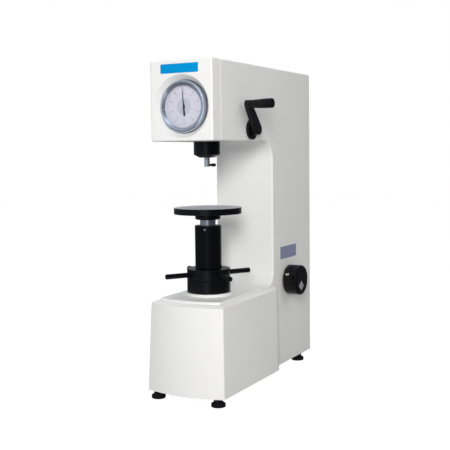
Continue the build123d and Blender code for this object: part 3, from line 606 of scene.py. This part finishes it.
# %% Dress the frame's nodes
FINISH_OF_SLOT = {
    "cast_enamel": CAST_ENAMEL, "cover_enamel": COVER_ENAMEL, "black_oxide": BLACK_UPRIGHT,
    "ground_steel": GROUND_STEEL, "machine_steel": MACHINE_STEEL, "bronze": BRONZE,
    "chrome": CHROME, "dial_metal": DIAL_METAL, "dial_white": DIAL_WHITE,
    "pointer_black": POINTER_BLACK, "black_plastic": BLACK_PLASTIC, "foot_rubber": FOOT_RUBBER,
}


def dress(node, material):
    NODES[node].data.materials.clear()
    NODES[node].data.materials.append(material)


for subpart in frame["record"]["subparts"]:
    if subpart["material_slot"] in FINISH_OF_SLOT:
        dress(subpart["node"], FINISH_OF_SLOT[subpart["material_slot"]])
dress("crank_arm", BLACK_CRANK)
dress("crank_flange", BLACK_CRANK)
dress("small_pointer", DIAL_METAL)

# %% [markdown]
# The glass over the dial is thin and flat, so it is made of reflection alone: a
# mirror that is nearly clear where it faces the eye and stronger at a slant.
# The fifth power of Layer Weight's Facing follows Schlick's rule for glass, and
# it treats the front and the back of the pane alike.

# %% Finish: dial glass
GLASS_SHINE, SLANT_SHINE = 0.03, 0.7
DIAL_GLASS, tree, shader = new_finish(
    "dial_glass", (0.90, 0.94, 1.0), Metallic=1.0, Roughness=0.03)
slant = add_node(tree, "ShaderNodeLayerWeight", Blend=0.5).outputs["Facing"]
slant = add_math(tree, "MULTIPLY", add_math(tree, "POWER", slant, 5.0), SLANT_SHINE)
set_sockets(shader, Alpha=add_math(tree, "ADD", slant, GLASS_SHINE))
dress("dial_glass", DIAL_GLASS)
print("glass", DIAL_GLASS.name)

# %% [markdown]
# Turned pieces all start the same way: a half outline in radius and height, a
# full spin about Z, then a bevel on every edge that turns sharply. Spin with
# use_merge closes the ring, and merging doubles closes the poles. Outlines are
# (radius, height) points in millimetres.

# %% Mesh helpers
ROUND_STEPS, FINE_STEPS = 96, 144
SAME_POINT, SAME_CAD_POINT = 1e-7, 1e-6  # metres


def spun(outline, steps=ROUND_STEPS):
    """Solid of revolution from (radius, height) points in millimetres."""
    shape = bmesh.new()
    corners = [shape.verts.new((r * MM, 0, z * MM)) for r, z in outline]
    pairs = list(zip(corners, corners[1:]))
    if outline[0][0] > 0 or outline[-1][0] > 0:
        pairs.append((corners[-1], corners[0]))
    edges = [shape.edges.new(pair) for pair in pairs]
    bmesh.ops.spin(
        shape, geom=corners + edges, cent=(0, 0, 0), axis=(0, 0, 1), angle=math.tau,
        steps=steps, use_merge=True)
    bmesh.ops.remove_doubles(shape, verts=shape.verts, dist=SAME_POINT)
    bmesh.ops.recalc_face_normals(shape, faces=shape.faces)
    return shape


def soften(shape, width, over=24, segments=3):
    """Round every edge that turns by more than the given angle."""
    limit = math.radians(over)
    sharp = [e for e in shape.edges if e.is_manifold and e.calc_face_angle() > limit]
    bmesh.ops.bevel(
        shape, geom=sharp, offset=width * MM, segments=segments, profile=0.5,
        affect="EDGES", clamp_overlap=True, material=-1)
    return shape


def add_box(shape, size, centre, turn=IN_PLACE):
    """Box of a size and place in millimetres, then turned about the origin."""
    spread = Matrix.Diagonal((*(length * MM for length in size), 1))
    lift = Matrix.Translation([length * MM for length in centre])
    bmesh.ops.create_cube(shape, size=1, matrix=turn @ lift @ spread)


def push_out(shape, faces, distance):
    """Extrude faces and move what was added along Z, in millimetres."""
    added = bmesh.ops.extrude_face_region(shape, geom=faces)
    corners = [v for v in added["geom"] if isinstance(v, bmesh.types.BMVert)]
    bmesh.ops.translate(shape, verts=corners, vec=(0, 0, distance * MM))


def join_shapes(shapes):
    """Pour several bmeshes into one."""
    whole = bmesh.new()
    for shape in shapes:
        carrier = bpy.data.meshes.new("carrier")
        shape.to_mesh(carrier)
        shape.free()
        whole.from_mesh(carrier)
        bpy.data.meshes.remove(carrier)
    return whole


def merged_copy(mesh):
    """A mesh as a bmesh whose doubled points are merged."""
    shape = bmesh.new()
    shape.from_mesh(mesh)
    bmesh.ops.remove_doubles(shape, verts=shape.verts, dist=SAME_CAD_POINT)
    return shape


def finish_piece(name, shape, place, body, material, smooth=32):
    """Turn a bmesh into a shaded object that rides on a body."""
    shape.transform(place)
    piece = new_object(name, shape)
    piece.data.materials.append(material)
    piece.data.shade_smooth()
    piece.data.set_sharp_from_angle(angle=math.radians(smooth))
    even = piece.modifiers.new("even_normals", "WEIGHTED_NORMAL")
    even.keep_sharp = True
    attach(piece, body)
    print(name, len(piece.data.polygons), "faces")
    return piece


# %% [markdown]
# The nose hangs under the head: a cylinder with a long 45 degree skirt around
# the spindle bush. It is blackened like the rest of the working parts.

# %% Nose
NOSE_R, NOSE_EDGE_Z, NOSE_END_R, NOSE_BORE_R = 25.2, 458.3, 13.9, 5.6
SPIGOT_R, SPIGOT_H = 20.0, 14
nose_low, head_low = heights("nose_housing")[0], heights("front_cover")[0]
shape = soften(spun([
    (NOSE_BORE_R, nose_low), (NOSE_END_R, nose_low), (NOSE_R, NOSE_EDGE_Z), (NOSE_R, head_low),
    (SPIGOT_R, head_low), (SPIGOT_R, head_low + SPIGOT_H),
    (NOSE_BORE_R, head_low + SPIGOT_H)]), 0.5)
nose = finish_piece("nose_skirt", shape, TEST_AXIS, "body", BLACK_UPRIGHT)
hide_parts("nose_housing", "spindle_bush")

# %% [markdown]
# The spindle ends in a bright ground quill, bored for the indenter's shank. A
# shallow groove marks where the grinding wheel ran out.

# %% Spindle
SPINDLE_R, INDENTER_R, INDENTER_DEPTH, MOUTH = 5.4, 3.2, 14.0, 0.5
COLLAR_R, COLLAR_LOW, COLLAR_HIGH = 19, 506.5, 511.5
GROOVE = ((0, 13.6), (0.35, 14.2), (0.35, 15.2), (0, 15.8))  # (cut, height over the tip)
tip, top = heights("spindle")
shape = soften(spun([
    (0, tip + INDENTER_DEPTH), (INDENTER_R, tip + INDENTER_DEPTH), (INDENTER_R, tip + MOUTH),
    (INDENTER_R + MOUTH, tip), (SPINDLE_R - MOUTH, tip), (SPINDLE_R, tip + MOUTH),
    *((SPINDLE_R - cut, tip + z) for cut, z in GROOVE),
    (SPINDLE_R, COLLAR_LOW), (COLLAR_R, COLLAR_LOW), (COLLAR_R, COLLAR_HIGH),
    (SPINDLE_R, COLLAR_HIGH), (SPINDLE_R, top), (0, top)]), 0.12, segments=2)
quill = finish_piece("spindle_quill", shape, TEST_AXIS, "spindle", GROUND_STEEL)
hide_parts("spindle")

# %% [markdown]
# A thumb screw clamps the indenter. Its knurled head is a short cylinder whose
# side faces are inset and pushed in one by one, which leaves a ridge between
# each pair, just as a knurling wheel does.

# %% Indenter screw
THUMB_STEPS = 20
THUMB_OUTLINE = [
    (0, 3.3), (1.2, 3.3), (1.2, 5.2), (2.0, 5.6), (2.0, 8.0), (3.0, 10.2), (3.0, 17.2),
    (2.3, 18.2), (0, 18.2)]
KNURL_LOW, KNURL_HIGH, KNURL_MIN_R = 10.3, 17.1, 2.7
RIDGE_HALF, KNURL_DEPTH = 0.1, 0.14
thumb_place = middle("indenter_screw")
thumb_place.x = TEST_AXIS.translation.x
THUMB_AXIS = Matrix.Translation(thumb_place) @ SIDEWAYS
shape = spun(THUMB_OUTLINE, THUMB_STEPS)
grooves = []
for face in shape.faces:
    centre = face.calc_center_median() / MM
    if KNURL_LOW < centre.z < KNURL_HIGH and math.hypot(centre.x, centre.y) > KNURL_MIN_R:
        grooves.append(face)
bmesh.ops.inset_individual(
    shape, faces=grooves, thickness=RIDGE_HALF * MM, depth=-KNURL_DEPTH * MM)
thumb = finish_piece(
    "thumb_screw", shape, THUMB_AXIS, "indenter_screw", BLACK_UPRIGHT, 20)
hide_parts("indenter_screw")

# %% [markdown]
# The round table is ground bright on top and blackened elsewhere. One mesh
# carries both: after the spin, the faces that look up at the full height take
# the second material.

# %% Test table
TABLE_R, TABLE_HUB_R, SHANK_R = 64.9, 24.4, 8.0
TABLE_LOW, HUB_CHAMFER, SHANK_CHAMFER = 345.9, 2, 0.6
shank_end, table_top = heights("test_table")
hub_low = heights("elevating_screw")[1]
shape = soften(spun([
    (0, shank_end), (SHANK_R - SHANK_CHAMFER, shank_end), (SHANK_R, shank_end + SHANK_CHAMFER),
    (SHANK_R, hub_low), (TABLE_HUB_R - HUB_CHAMFER, hub_low),
    (TABLE_HUB_R, hub_low + HUB_CHAMFER), (TABLE_HUB_R, TABLE_LOW), (TABLE_R, TABLE_LOW),
    (TABLE_R, table_top), (0, table_top)], FINE_STEPS), 0.7)
for face in shape.faces:
    if face.normal.z > 0.99 and face.calc_center_median().z / MM > table_top - 0.1:
        face.material_index = 1
table = finish_piece("table_plate", shape, TEST_AXIS, "table", BLACK_UPRIGHT)
table.data.materials.append(TABLE_STEEL)
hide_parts("test_table")

# %% [markdown]
# The black sleeve hides the screw from dirt. It is a tube whose head closes in
# on the screw, with a small bright grub screw near its top edge.

# %% Screw sleeve
SLEEVE_R, SLEEVE_WALL, SLEEVE_HEAD, SCREW_R = 25.4, 3.2, 14.0, 15.0
SLEEVE_BORE_R = SCREW_R + 0.05
sleeve_low, sleeve_top = heights("screw_sleeve")
shape = soften(spun([
    (SLEEVE_R - SLEEVE_WALL, sleeve_low), (SLEEVE_R, sleeve_low), (SLEEVE_R, sleeve_top),
    (SLEEVE_BORE_R, sleeve_top), (SLEEVE_BORE_R, sleeve_top - SLEEVE_HEAD),
    (SLEEVE_R - SLEEVE_WALL, sleeve_top - SLEEVE_HEAD)]), 0.8)
sleeve = finish_piece("dust_sleeve", shape, TEST_AXIS, "lift", BLACK_SLEEVE)
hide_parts("screw_sleeve")

# %% [markdown]
# A grub screw is a short pin with a socket in its end. The real socket has six
# sides, but at this size a round one looks the same and needs no second
# outline: cap a cylinder, inset the cap twice, and press the middle in.

# %% Grub screws
PIN_SIDES = 24
SOCKET_RIM, SOCKET_SLOPE, SOCKET_DEPTH = 0.18, 0.30, 0.7  # shares of the pin's radius


def grub_screw(name, radius, length, place, body):
    """Bright socket screw whose outer face is at height 0."""
    shape = bmesh.new()
    bmesh.ops.create_cone(
        shape, cap_ends=True, segments=PIN_SIDES, radius1=radius * MM, radius2=radius * MM,
        depth=length * MM, matrix=Matrix.Translation((0, 0, -length / 2 * MM)))
    cap = max(shape.faces, key=lambda face: face.calc_center_median().z)
    for share in (SOCKET_RIM, SOCKET_SLOPE):
        bmesh.ops.inset_region(shape, faces=[cap], thickness=radius * share * MM, depth=0)
    push_out(shape, [cap], -radius * SOCKET_DEPTH)
    bmesh.ops.delete(shape, geom=[cap], context="FACES")
    return finish_piece(name, shape, place, body, GROUND_STEEL)


def outwards(angle, reach, height):
    """Place on the test axis looking radially outwards, in millimetres."""
    turn = Matrix.Rotation(math.radians(angle), 4, "Z")
    out = Matrix.Translation((reach * MM, 0, height * MM)) @ SIDEWAYS
    return TEST_AXIS @ turn @ out


pin = middle("sleeve_screw") - TEST_AXIS.translation
pin_angle = math.degrees(math.atan2(pin.y, pin.x))
sleeve_pin = grub_screw(
    "sleeve_grub_screw", 2.0, 9.0, outwards(pin_angle, SLEEVE_R + 0.2, pin.z / MM), "lift")
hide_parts("sleeve_screw")

# %% [markdown]
# The elevating screw has a trapezoidal thread. A spin that also climbs turns
# one tooth outline into a helix: dvec adds a little height at every step. A
# plain core fills the thread's middle and carries the table's bore.

# %% Elevating screw
SCREW_LEAD, SCREW_ROOT_R, THREAD_TOP, THREAD_STEPS = 6.0, 12.6, 306.0, 40
BORE_R, BORE_DEPTH, SCREW_CHAMFER = SHANK_R + 0.1, 24.6, 0.6
TOOTH = [
    (SCREW_ROOT_R - 1, 0), (SCREW_ROOT_R, 0.9), (SCREW_R, 1.7), (SCREW_R, 3.7),
    (SCREW_ROOT_R, 4.5), (SCREW_ROOT_R - 1, 5.4)]
screw_low, screw_top = heights("elevating_screw")
turns = int((THREAD_TOP - screw_low - SCREW_LEAD) / SCREW_LEAD)
shape = bmesh.new()
corners = [shape.verts.new((r * MM, 0, (screw_low + z) * MM)) for r, z in TOOTH]
edges = [shape.edges.new(pair) for pair in zip(corners, corners[1:])]
bmesh.ops.spin(
    shape, geom=corners + edges, cent=(0, 0, 0), axis=(0, 0, 1), angle=math.tau * turns,
    dvec=(0, 0, SCREW_LEAD / THREAD_STEPS * MM), steps=THREAD_STEPS * turns)
bmesh.ops.holes_fill(shape, edges=[e for e in shape.edges if e.is_boundary], sides=0)
bmesh.ops.recalc_face_normals(shape, faces=shape.faces)
finish_piece("screw_thread", shape, TEST_AXIS, "lift", MACHINE_STEEL)
shape = soften(spun([
    (0, screw_low), (SCREW_ROOT_R, screw_low), (SCREW_ROOT_R, THREAD_TOP - 1),
    (SCREW_R, THREAD_TOP + 1), (SCREW_R, screw_top - SCREW_CHAMFER),
    (SCREW_R - SCREW_CHAMFER, screw_top), (BORE_R, screw_top),
    (BORE_R, screw_top - BORE_DEPTH), (0, screw_top - BORE_DEPTH)]), 0.2, 30)
core = finish_piece("screw_core", shape, TEST_AXIS, "lift", MACHINE_STEEL)
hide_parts("elevating_screw")

# %% [markdown]
# The handwheel is a hub with four rods screwed into its side. The hub runs on
# a housing of the same width, with a fine gap between them that reads as one
# dark line.

# %% Handwheel hub and housing
HUB_R, NUT_R, SKIRT_R = 41.6, 22.0, 34.0
HUB_LOW, SKIRT_LOW = 219.4, 213.4
HOUSING_BORE_R, HOUSING_WALL, HOUSING_FLOOR = SCREW_R + 2, 7, 4.5
hub_top = heights("handwheel_hub")[1]
shape = soften(spun([
    (NUT_R, SKIRT_LOW), (SKIRT_R, SKIRT_LOW), (SKIRT_R, HUB_LOW), (HUB_R, HUB_LOW),
    (HUB_R, hub_top), (NUT_R, hub_top)]), 1.0)
hub = finish_piece("wheel_hub", shape, TEST_AXIS, "handwheel", BLACK_UPRIGHT)
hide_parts("handwheel_hub")
housing_low, housing_top = heights("bearing_housing")
shape = soften(spun([
    (HOUSING_BORE_R, housing_low), (HUB_R, housing_low), (HUB_R, housing_top),
    (HUB_R - HOUSING_WALL, housing_top), (HUB_R - HOUSING_WALL, housing_low + HOUSING_FLOOR),
    (HOUSING_BORE_R, housing_low + HOUSING_FLOOR)]), 0.6)
housing = finish_piece("thrust_housing", shape, TEST_AXIS, "body", BLACK_UPRIGHT)
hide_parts("bearing_housing")

# %% [markdown]
# Each rod is the same turned bar with a domed end, placed four times by a loop.
# Its root sits inside the hub, so no joint shows.

# %% Handwheel rods
ROD_R, ROD_TIP, ROD_ROOT, ROD_Z, ROD_ANGLE, ROD_COUNT = 4.9, 90.0, 26.0, 230.2, 56.0, 4
bars = []
for index in range(ROD_COUNT):
    bar = soften(spun([
        (0, ROD_ROOT), (ROD_R, ROD_ROOT), (ROD_R, ROD_TIP), (0, ROD_TIP)], 48), 1.6, 30, 5)
    bar.transform(outwards(ROD_ANGLE + 360 / ROD_COUNT * index, 0, ROD_Z))
    bars.append(bar)
rods = finish_piece(
    "wheel_rods", join_shapes(bars), IN_PLACE, "handwheel", BLACK_UPRIGHT)
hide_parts("handwheel_rods")

# %% [markdown]
# The load crank turns in a round flange held by a grub screw. The arm stays as
# the frame made it. Its grip is a smooth moulded handle that swells towards
# the free end, made by one spin of a curved outline.

# %% Crank flange and grip
FLANGE_R, FLANGE_BORE_R, FLANGE_PIN_R = 19.4, 8.1, 19.3
FLANGE_PIN_ANGLE = math.radians(-3.5)
GRIP_PIN_R, GRIP_CAP = 3.05, 7
FLANGE_FRAME, flange_length = side_axis("crank_flange")
shape = soften(spun([
    (FLANGE_BORE_R, 0), (FLANGE_R, 0), (FLANGE_R, flange_length),
    (FLANGE_BORE_R, flange_length)]), 1.3)
flange = finish_piece("crank_collar", shape, FLANGE_FRAME, "body", BLACK_CRANK)
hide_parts("crank_flange")
pin_place = FLANGE_FRAME @ Matrix.Rotation(FLANGE_PIN_ANGLE, 4, "Z") @ Matrix.Translation(
    (0, -FLANGE_PIN_R * MM, flange_length / 2 * MM)) @ TO_FRONT
grub_screw("flange_grub_screw", 1.3, 6.0, pin_place, "body")

GRIP_FRAME, grip_end = side_axis("grip")
shape = soften(spun([
    (GRIP_PIN_R, 0), (6.8, 0), (7.6, 1.5), (7.7, 6), (8.1, 13), (8.6, 21), (9.0, grip_end - 17),
    (9.2, grip_end - 7), (9.1, grip_end - 3.4), (8.2, grip_end - 1), (5.8, grip_end),
    (0, grip_end), (0, grip_end - GRIP_CAP), (GRIP_PIN_R, grip_end - GRIP_CAP)], 64), 0.5, 14)
grip = finish_piece("crank_handle", shape, GRIP_FRAME, "crank_grip", GRIP_PLASTIC)
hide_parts("grip")

# %% [markdown]
# Plain numbers are text curves with a little thickness. They are made a mesh
# first and placed afterwards, and on the knob each point is wrapped around the
# rim by turning its height on the page into an angle.

# %% Number helper


def number_shape(text, size, thickness):
    """A number as a bmesh, centred, lying in the XY plane, in metres."""
    curve = bpy.data.curves.new("number", "FONT")
    curve.body = text
    curve.size = size * MM
    curve.extrude = thickness / 2 * MM
    curve.align_x = curve.align_y = "CENTER"
    curve.resolution_u = 3
    holder = bpy.data.objects.new("number", curve)
    mesh = bpy.data.meshes.new_from_object(holder)
    shape = bmesh.new()
    shape.from_mesh(mesh)
    bpy.data.batch_remove((holder, curve, mesh))
    bmesh.ops.remove_doubles(shape, verts=shape.verts, dist=SAME_POINT)
    return shape


# %% [markdown]
# The force selector is a moulded knob. Its three forces are printed around the
# rim, a third of a turn apart, and a kite-shaped plate on the front points at
# the one in use. The plate is a copy of the frame's own, made a little slimmer
# about its centre and set slightly forward.

# %% Force knob
KNOB_R, KNOB_ROOT_R, KNOB_FRONT = 31.2, 31.0, 4.2
KNOB_FRAME, knob_depth = side_axis("force_knob")
shape = soften(spun([
    (0, 0), (KNOB_ROOT_R, 0), (KNOB_R, knob_depth - KNOB_FRONT), (KNOB_R, knob_depth),
    (0, knob_depth)]), 4.0, segments=6)
knob = finish_piece("selector_knob", shape, KNOB_FRAME, "selector", BLACK_PLASTIC)
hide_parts("force_knob")

KITE_SLIM, KITE_SHIFT = 0.92, -5.0
kite = merged_copy(NODES["knob_pointer"].data)
kite_centre = Matrix.Translation(middle("knob_pointer"))
kite.transform(
    Matrix.Translation((0, KITE_SHIFT * MM, 0)) @ kite_centre
    @ Matrix.Diagonal((1, KITE_SLIM, KITE_SLIM, 1)) @ kite_centre.inverted())
kite_plate = finish_piece("kite_plate", kite, IN_PLACE, "selector", ETCHED_PLATE)
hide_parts("knob_pointer")

RIM_FORCES = ("60", "100", "150")
NUMBER_SIZE, NUMBER_DEPTH, NUMBER_ANGLE, NUMBER_T = 7.4, 10.0, -27.0, 0.12
RIM_SLOPE = (KNOB_R - KNOB_ROOT_R) / (knob_depth - KNOB_FRONT)
marks = []
for index, force in enumerate(RIM_FORCES):
    shape = number_shape(force, NUMBER_SIZE, NUMBER_T)
    start = math.radians(NUMBER_ANGLE + 120 * index)
    for point in shape.verts:
        depth = NUMBER_DEPTH * MM + point.co.x
        reach = KNOB_ROOT_R * MM + RIM_SLOPE * depth + point.co.z
        angle = start - point.co.y / reach
        point.co = (reach * math.sin(angle), -reach * math.cos(angle), depth)
    marks.append(shape)
finish_piece("rim_numbers", join_shapes(marks), KNOB_FRAME, "selector", PRINT_WHITE)

# %% [markdown]
# The bezel is the chromed ring that turns the dial: a rounded crown outside and
# a sloping lip inside that holds the glass.

# %% Bezel
FACE_BACK, BEZEL_BACK, GLASS_FRONT = 81.2, 78.5, 85.4
BEZEL_R, LIP_R, GLASS_R, SPIGOT_OUT_R, BEZEL_FRONT = 47.5, 38.2, 43.0, 44.6, 90.3
spacer_front = FACE_BACK - 0.05
shape = soften(spun([
    (SPIGOT_OUT_R, BEZEL_BACK), (BEZEL_R, BEZEL_BACK), (BEZEL_R, BEZEL_FRONT - 3.4),
    (BEZEL_R - 1.0, BEZEL_FRONT - 1.2), (BEZEL_R - 3.3, BEZEL_FRONT),
    (BEZEL_R - 4.6, BEZEL_FRONT - 0.4), (LIP_R, GLASS_FRONT + 1.0), (LIP_R, GLASS_FRONT),
    (GLASS_R, GLASS_FRONT), (GLASS_R, spacer_front), (SPIGOT_OUT_R, spacer_front)],
    FINE_STEPS), 0.45, 20)
ring = finish_piece("dial_bezel", shape, DIAL, "dial_ring", CHROME)
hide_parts("bezel")

# %% [markdown]
# The dial's scale has a hundred ticks, every fifth one longer, with black
# numbers outside for one scale and red ones inside for the other. A tick is a
# thin box moved out along its radius and turned into place by a loop.

# %% Dial scale
FACE_FRONT, SCALE_R, PRINT_T = 81.8, 36.4, 0.04
PRINT_MIDDLE = FACE_FRONT + PRINT_T / 2


def tick_marks(count, inner, outer, width, skip=None):
    """Ring of thin boxes printed on the dial face, without every skip-th."""
    shape = bmesh.new()
    size, centre = (width, outer - inner, PRINT_T), (0, (inner + outer) / 2, PRINT_MIDDLE)
    for index in range(count):
        if not skip or index % skip:
            add_box(shape, size, centre, Matrix.Rotation(-math.tau * index / count, 4, "Z"))
    return shape


def ring_of_numbers(values, radius, size):
    """Numbers spread evenly around the dial, the first one at the top."""
    shapes = []
    lift = Matrix.Translation((0, radius * MM, PRINT_MIDDLE * MM))
    for index, value in enumerate(values):
        shape = number_shape(str(value), size, PRINT_T)
        shape.transform(Matrix.Rotation(-math.tau * index / len(values), 4, "Z") @ lift)
        shapes.append(shape)
    return shapes


black_print = join_shapes([
    tick_marks(100, SCALE_R - 2.0, SCALE_R, 0.16, 5), tick_marks(20, SCALE_R - 3.4, SCALE_R, 0.22),
    *ring_of_numbers(range(0, 100, 10), SCALE_R - 6.2, 3.6)])
finish_piece("black_scale", black_print, DIAL, "dial_ring", BLACK_INK)
red_print = join_shapes([
    *ring_of_numbers(range(30, 130, 10), SCALE_R - 12.0, 3.0),
    tick_marks(50, SCALE_R - 15.6, SCALE_R - 14.6, 0.14)])
finish_piece("red_scale", red_print, DIAL, "dial_ring", RED_INK)

# %% [markdown]
# The middle of the face carries a grey printed disc, the field of the small
# counting pointer. It is a very thin ring spun on the face.

# %% Dial centre
GREY_R, GREY_BORE_R = 15, 2.7
grey_front = FACE_FRONT + 0.03
shape = spun([
    (GREY_BORE_R, FACE_FRONT), (GREY_R, FACE_FRONT), (GREY_R, grey_front),
    (GREY_BORE_R, grey_front)])
finish_piece("grey_disc", shape, DIAL, "dial_ring", GREY_PRINT)

# %% [markdown]
# The long pointer is one slim stamping that widens evenly from a fine tip to a
# round tail. A circle gives the tail: its upper points are drawn out to the
# tip, and extruding the flat outline gives the thickness.

# %% Long pointer
POINTER_TIP, POINTER_TAIL, TAIL_R, POINTER_TILT = 35.0, 15.5, 1.9, 5.0
POINTER_BACK, POINTER_T, ARBOR_R, ARBOR_LOW = 83.0, 0.5, 1.3, 67
TIP_NARROWING = 0.16
shape = bmesh.new()
bmesh.ops.create_circle(shape, cap_ends=True, segments=24, radius=TAIL_R * MM)
for point in shape.verts:
    if point.co.y > 0.5 * TAIL_R * MM:
        point.co.x *= TIP_NARROWING
        point.co.y = (POINTER_TIP + POINTER_TAIL) * MM
bmesh.ops.remove_doubles(shape, verts=shape.verts, dist=SAME_CAD_POINT)
push_out(shape, shape.faces[:], POINTER_T)
bmesh.ops.recalc_face_normals(shape, faces=shape.faces)
shape.transform(
    Matrix.Rotation(math.radians(POINTER_TILT), 4, "Z")
    @ Matrix.Translation((0, -POINTER_TAIL * MM, POINTER_BACK * MM)))
arbor = spun([
    (0, ARBOR_LOW), (ARBOR_R, ARBOR_LOW), (ARBOR_R, POINTER_BACK), (0, POINTER_BACK)], 32)
blade = finish_piece(
    "pointer_blade", join_shapes([shape, arbor]), DIAL, "long_pointer",
    POINTER_BLACK)
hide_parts("long_pointer")

# %% [markdown]
# The dial sits in a dished recess: the cover's face slopes into it as a wide
# cone with a softened edge. A spun cutter is subtracted from a copy of the
# cover by a Boolean modifier, and the result is kept as a mesh.

# %% Dished front cover
THROAT_R, CONE_DEPTH, DISH_R, CUT_SPARE = 48.6, 12.0, 57.8, 3
DISH_LIP = ((54.6, 3.9), (56.0, 2.0), (56.8, 0.9), (57.4, 0.2))  # (radius, depth)
dish_back = BEZEL_BACK - 1
front = (middle("spindle").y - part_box("front_cover")[0].y) / MM
dish = spun([
    (0, dish_back), (THROAT_R, dish_back), (THROAT_R, front - CONE_DEPTH),
    *((r, front - depth) for r, depth in DISH_LIP),
    (DISH_R, front), (DISH_R, front + CUT_SPARE), (0, front + CUT_SPARE)], 128)
dish.transform(DIAL)
cutter = new_object("dish_cutter", dish)
blank = bpy.data.objects.new("cover_blank", NODES["front_cover"].data.copy())
bpy.context.collection.objects.link(blank)
cut = blank.modifiers.new("dish", "BOOLEAN")
cut.operation = "DIFFERENCE"
cut.solver = "EXACT"
cut.object = cutter
bpy.context.view_layer.update()
dished = bpy.data.meshes.new_from_object(
    blank.evaluated_get(bpy.context.evaluated_depsgraph_get()))
bpy.data.batch_remove((cutter, blank))
shell = finish_piece(
    "cover_shell", merged_copy(dished), IN_PLACE, "body", COVER_ENAMEL)
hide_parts("front_cover")

# %% [markdown]
# Rubber feet with a chamfered pad and a neck around the stud. One outline
# serves all four.

# %% Feet
FOOT_R, FOOT_NECK_R, FOOT_PAD_H, STUD_R, STUD_LOW, REAR_HALF = 13.4, 8.5, 7.0, 5.0, 3, 54.0
casting_low = heights("frame_casting")[0]
feet_low, feet_high = (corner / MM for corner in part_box("feet"))
front_half = (feet_high.x - feet_low.x) / 2 - FOOT_R
feet_middle = (feet_high.x + feet_low.x) / 2
pads = []
for half, y in ((front_half, feet_low.y + FOOT_R), (REAR_HALF, feet_high.y - FOOT_R)):
    for side in (-1, 1):
        pad = soften(spun([
            (STUD_R, STUD_LOW), (0, STUD_LOW), (0, 0), (FOOT_R - 0.8, 0), (FOOT_R, 0.8),
            (FOOT_R, FOOT_PAD_H - 1.5), (FOOT_R - 1.5, FOOT_PAD_H),
            (FOOT_NECK_R, FOOT_PAD_H + 1), (FOOT_NECK_R, casting_low),
            (STUD_R, casting_low)], 64), 0.35, 20)
        pad.transform(Matrix.Translation(((feet_middle + side * half) * MM, y * MM, 0)))
        pads.append(pad)
feet = finish_piece(
    "rubber_feet", join_shapes(pads), IN_PLACE, "body", FOOT_RUBBER)
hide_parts("feet")

# %% [markdown]
# Two bare plates: a blue strip on the front of the head and a small grey-blue
# one on the column's side. Each is a thin box with its corners rounded by a
# bevel, sitting on the paint like printed foil.

# %% Bare plates
PLATE_T, PLATE_CORNER_R = 0.3, 0.8
COLUMN_PAST_LID = 9


def printed_plate(name, colour, drift_colour, corners, place):
    """Thin rounded plate in its own XY plane, in millimetres."""
    (x0, y0), (x1, y1) = corners
    shape = bmesh.new()
    add_box(
        shape, (x1 - x0, y1 - y0, PLATE_T), ((x0 + x1) / 2, (y0 + y1) / 2, PLATE_T / 2))
    upright = [e for e in shape.edges if abs((e.verts[0].co - e.verts[1].co).z) > SAME_CAD_POINT]
    bmesh.ops.bevel(
        shape, geom=upright, offset=PLATE_CORNER_R * MM, segments=4, profile=0.5,
        affect="EDGES", material=-1)
    material, tree, shader = new_finish(name, colour, Specular_IOR_Level=0.08)
    skin = add_group(tree, sprayed_skin, Drift_Scale=40.0)
    vary_colour(tree, shader, skin.outputs["Drift"], colour, drift_colour)
    vary_gloss(tree, shader, 60.0, 0.3, 0.42)
    finish_piece(name, shape, place, "body", material)


front_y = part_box("front_cover")[0].y
side_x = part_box("top_cover")[1].x + COLUMN_PAST_LID * MM
FRONT_FRAME = Matrix.Translation((TEST_AXIS.translation.x, front_y, 0)) @ TO_FRONT
SIDE_FRAME = Matrix.Translation((side_x, TEST_AXIS.translation.y, 0)) @ Matrix(
    ((0, 0, 1, 0), (1, 0, 0, 0), (0, 1, 0, 0), (0, 0, 0, 1)))
printed_plate(
    "front_strip", (0.0, 0.235, 0.56), (0.0, 0.28, 0.62), ((-42, 605.5), (37, 622.3)),
    FRONT_FRAME)
printed_plate(
    "side_plate", (0.215, 0.235, 0.345), (0.245, 0.265, 0.38), ((188.5, 238), (269, 263.8)),
    SIDE_FRAME)
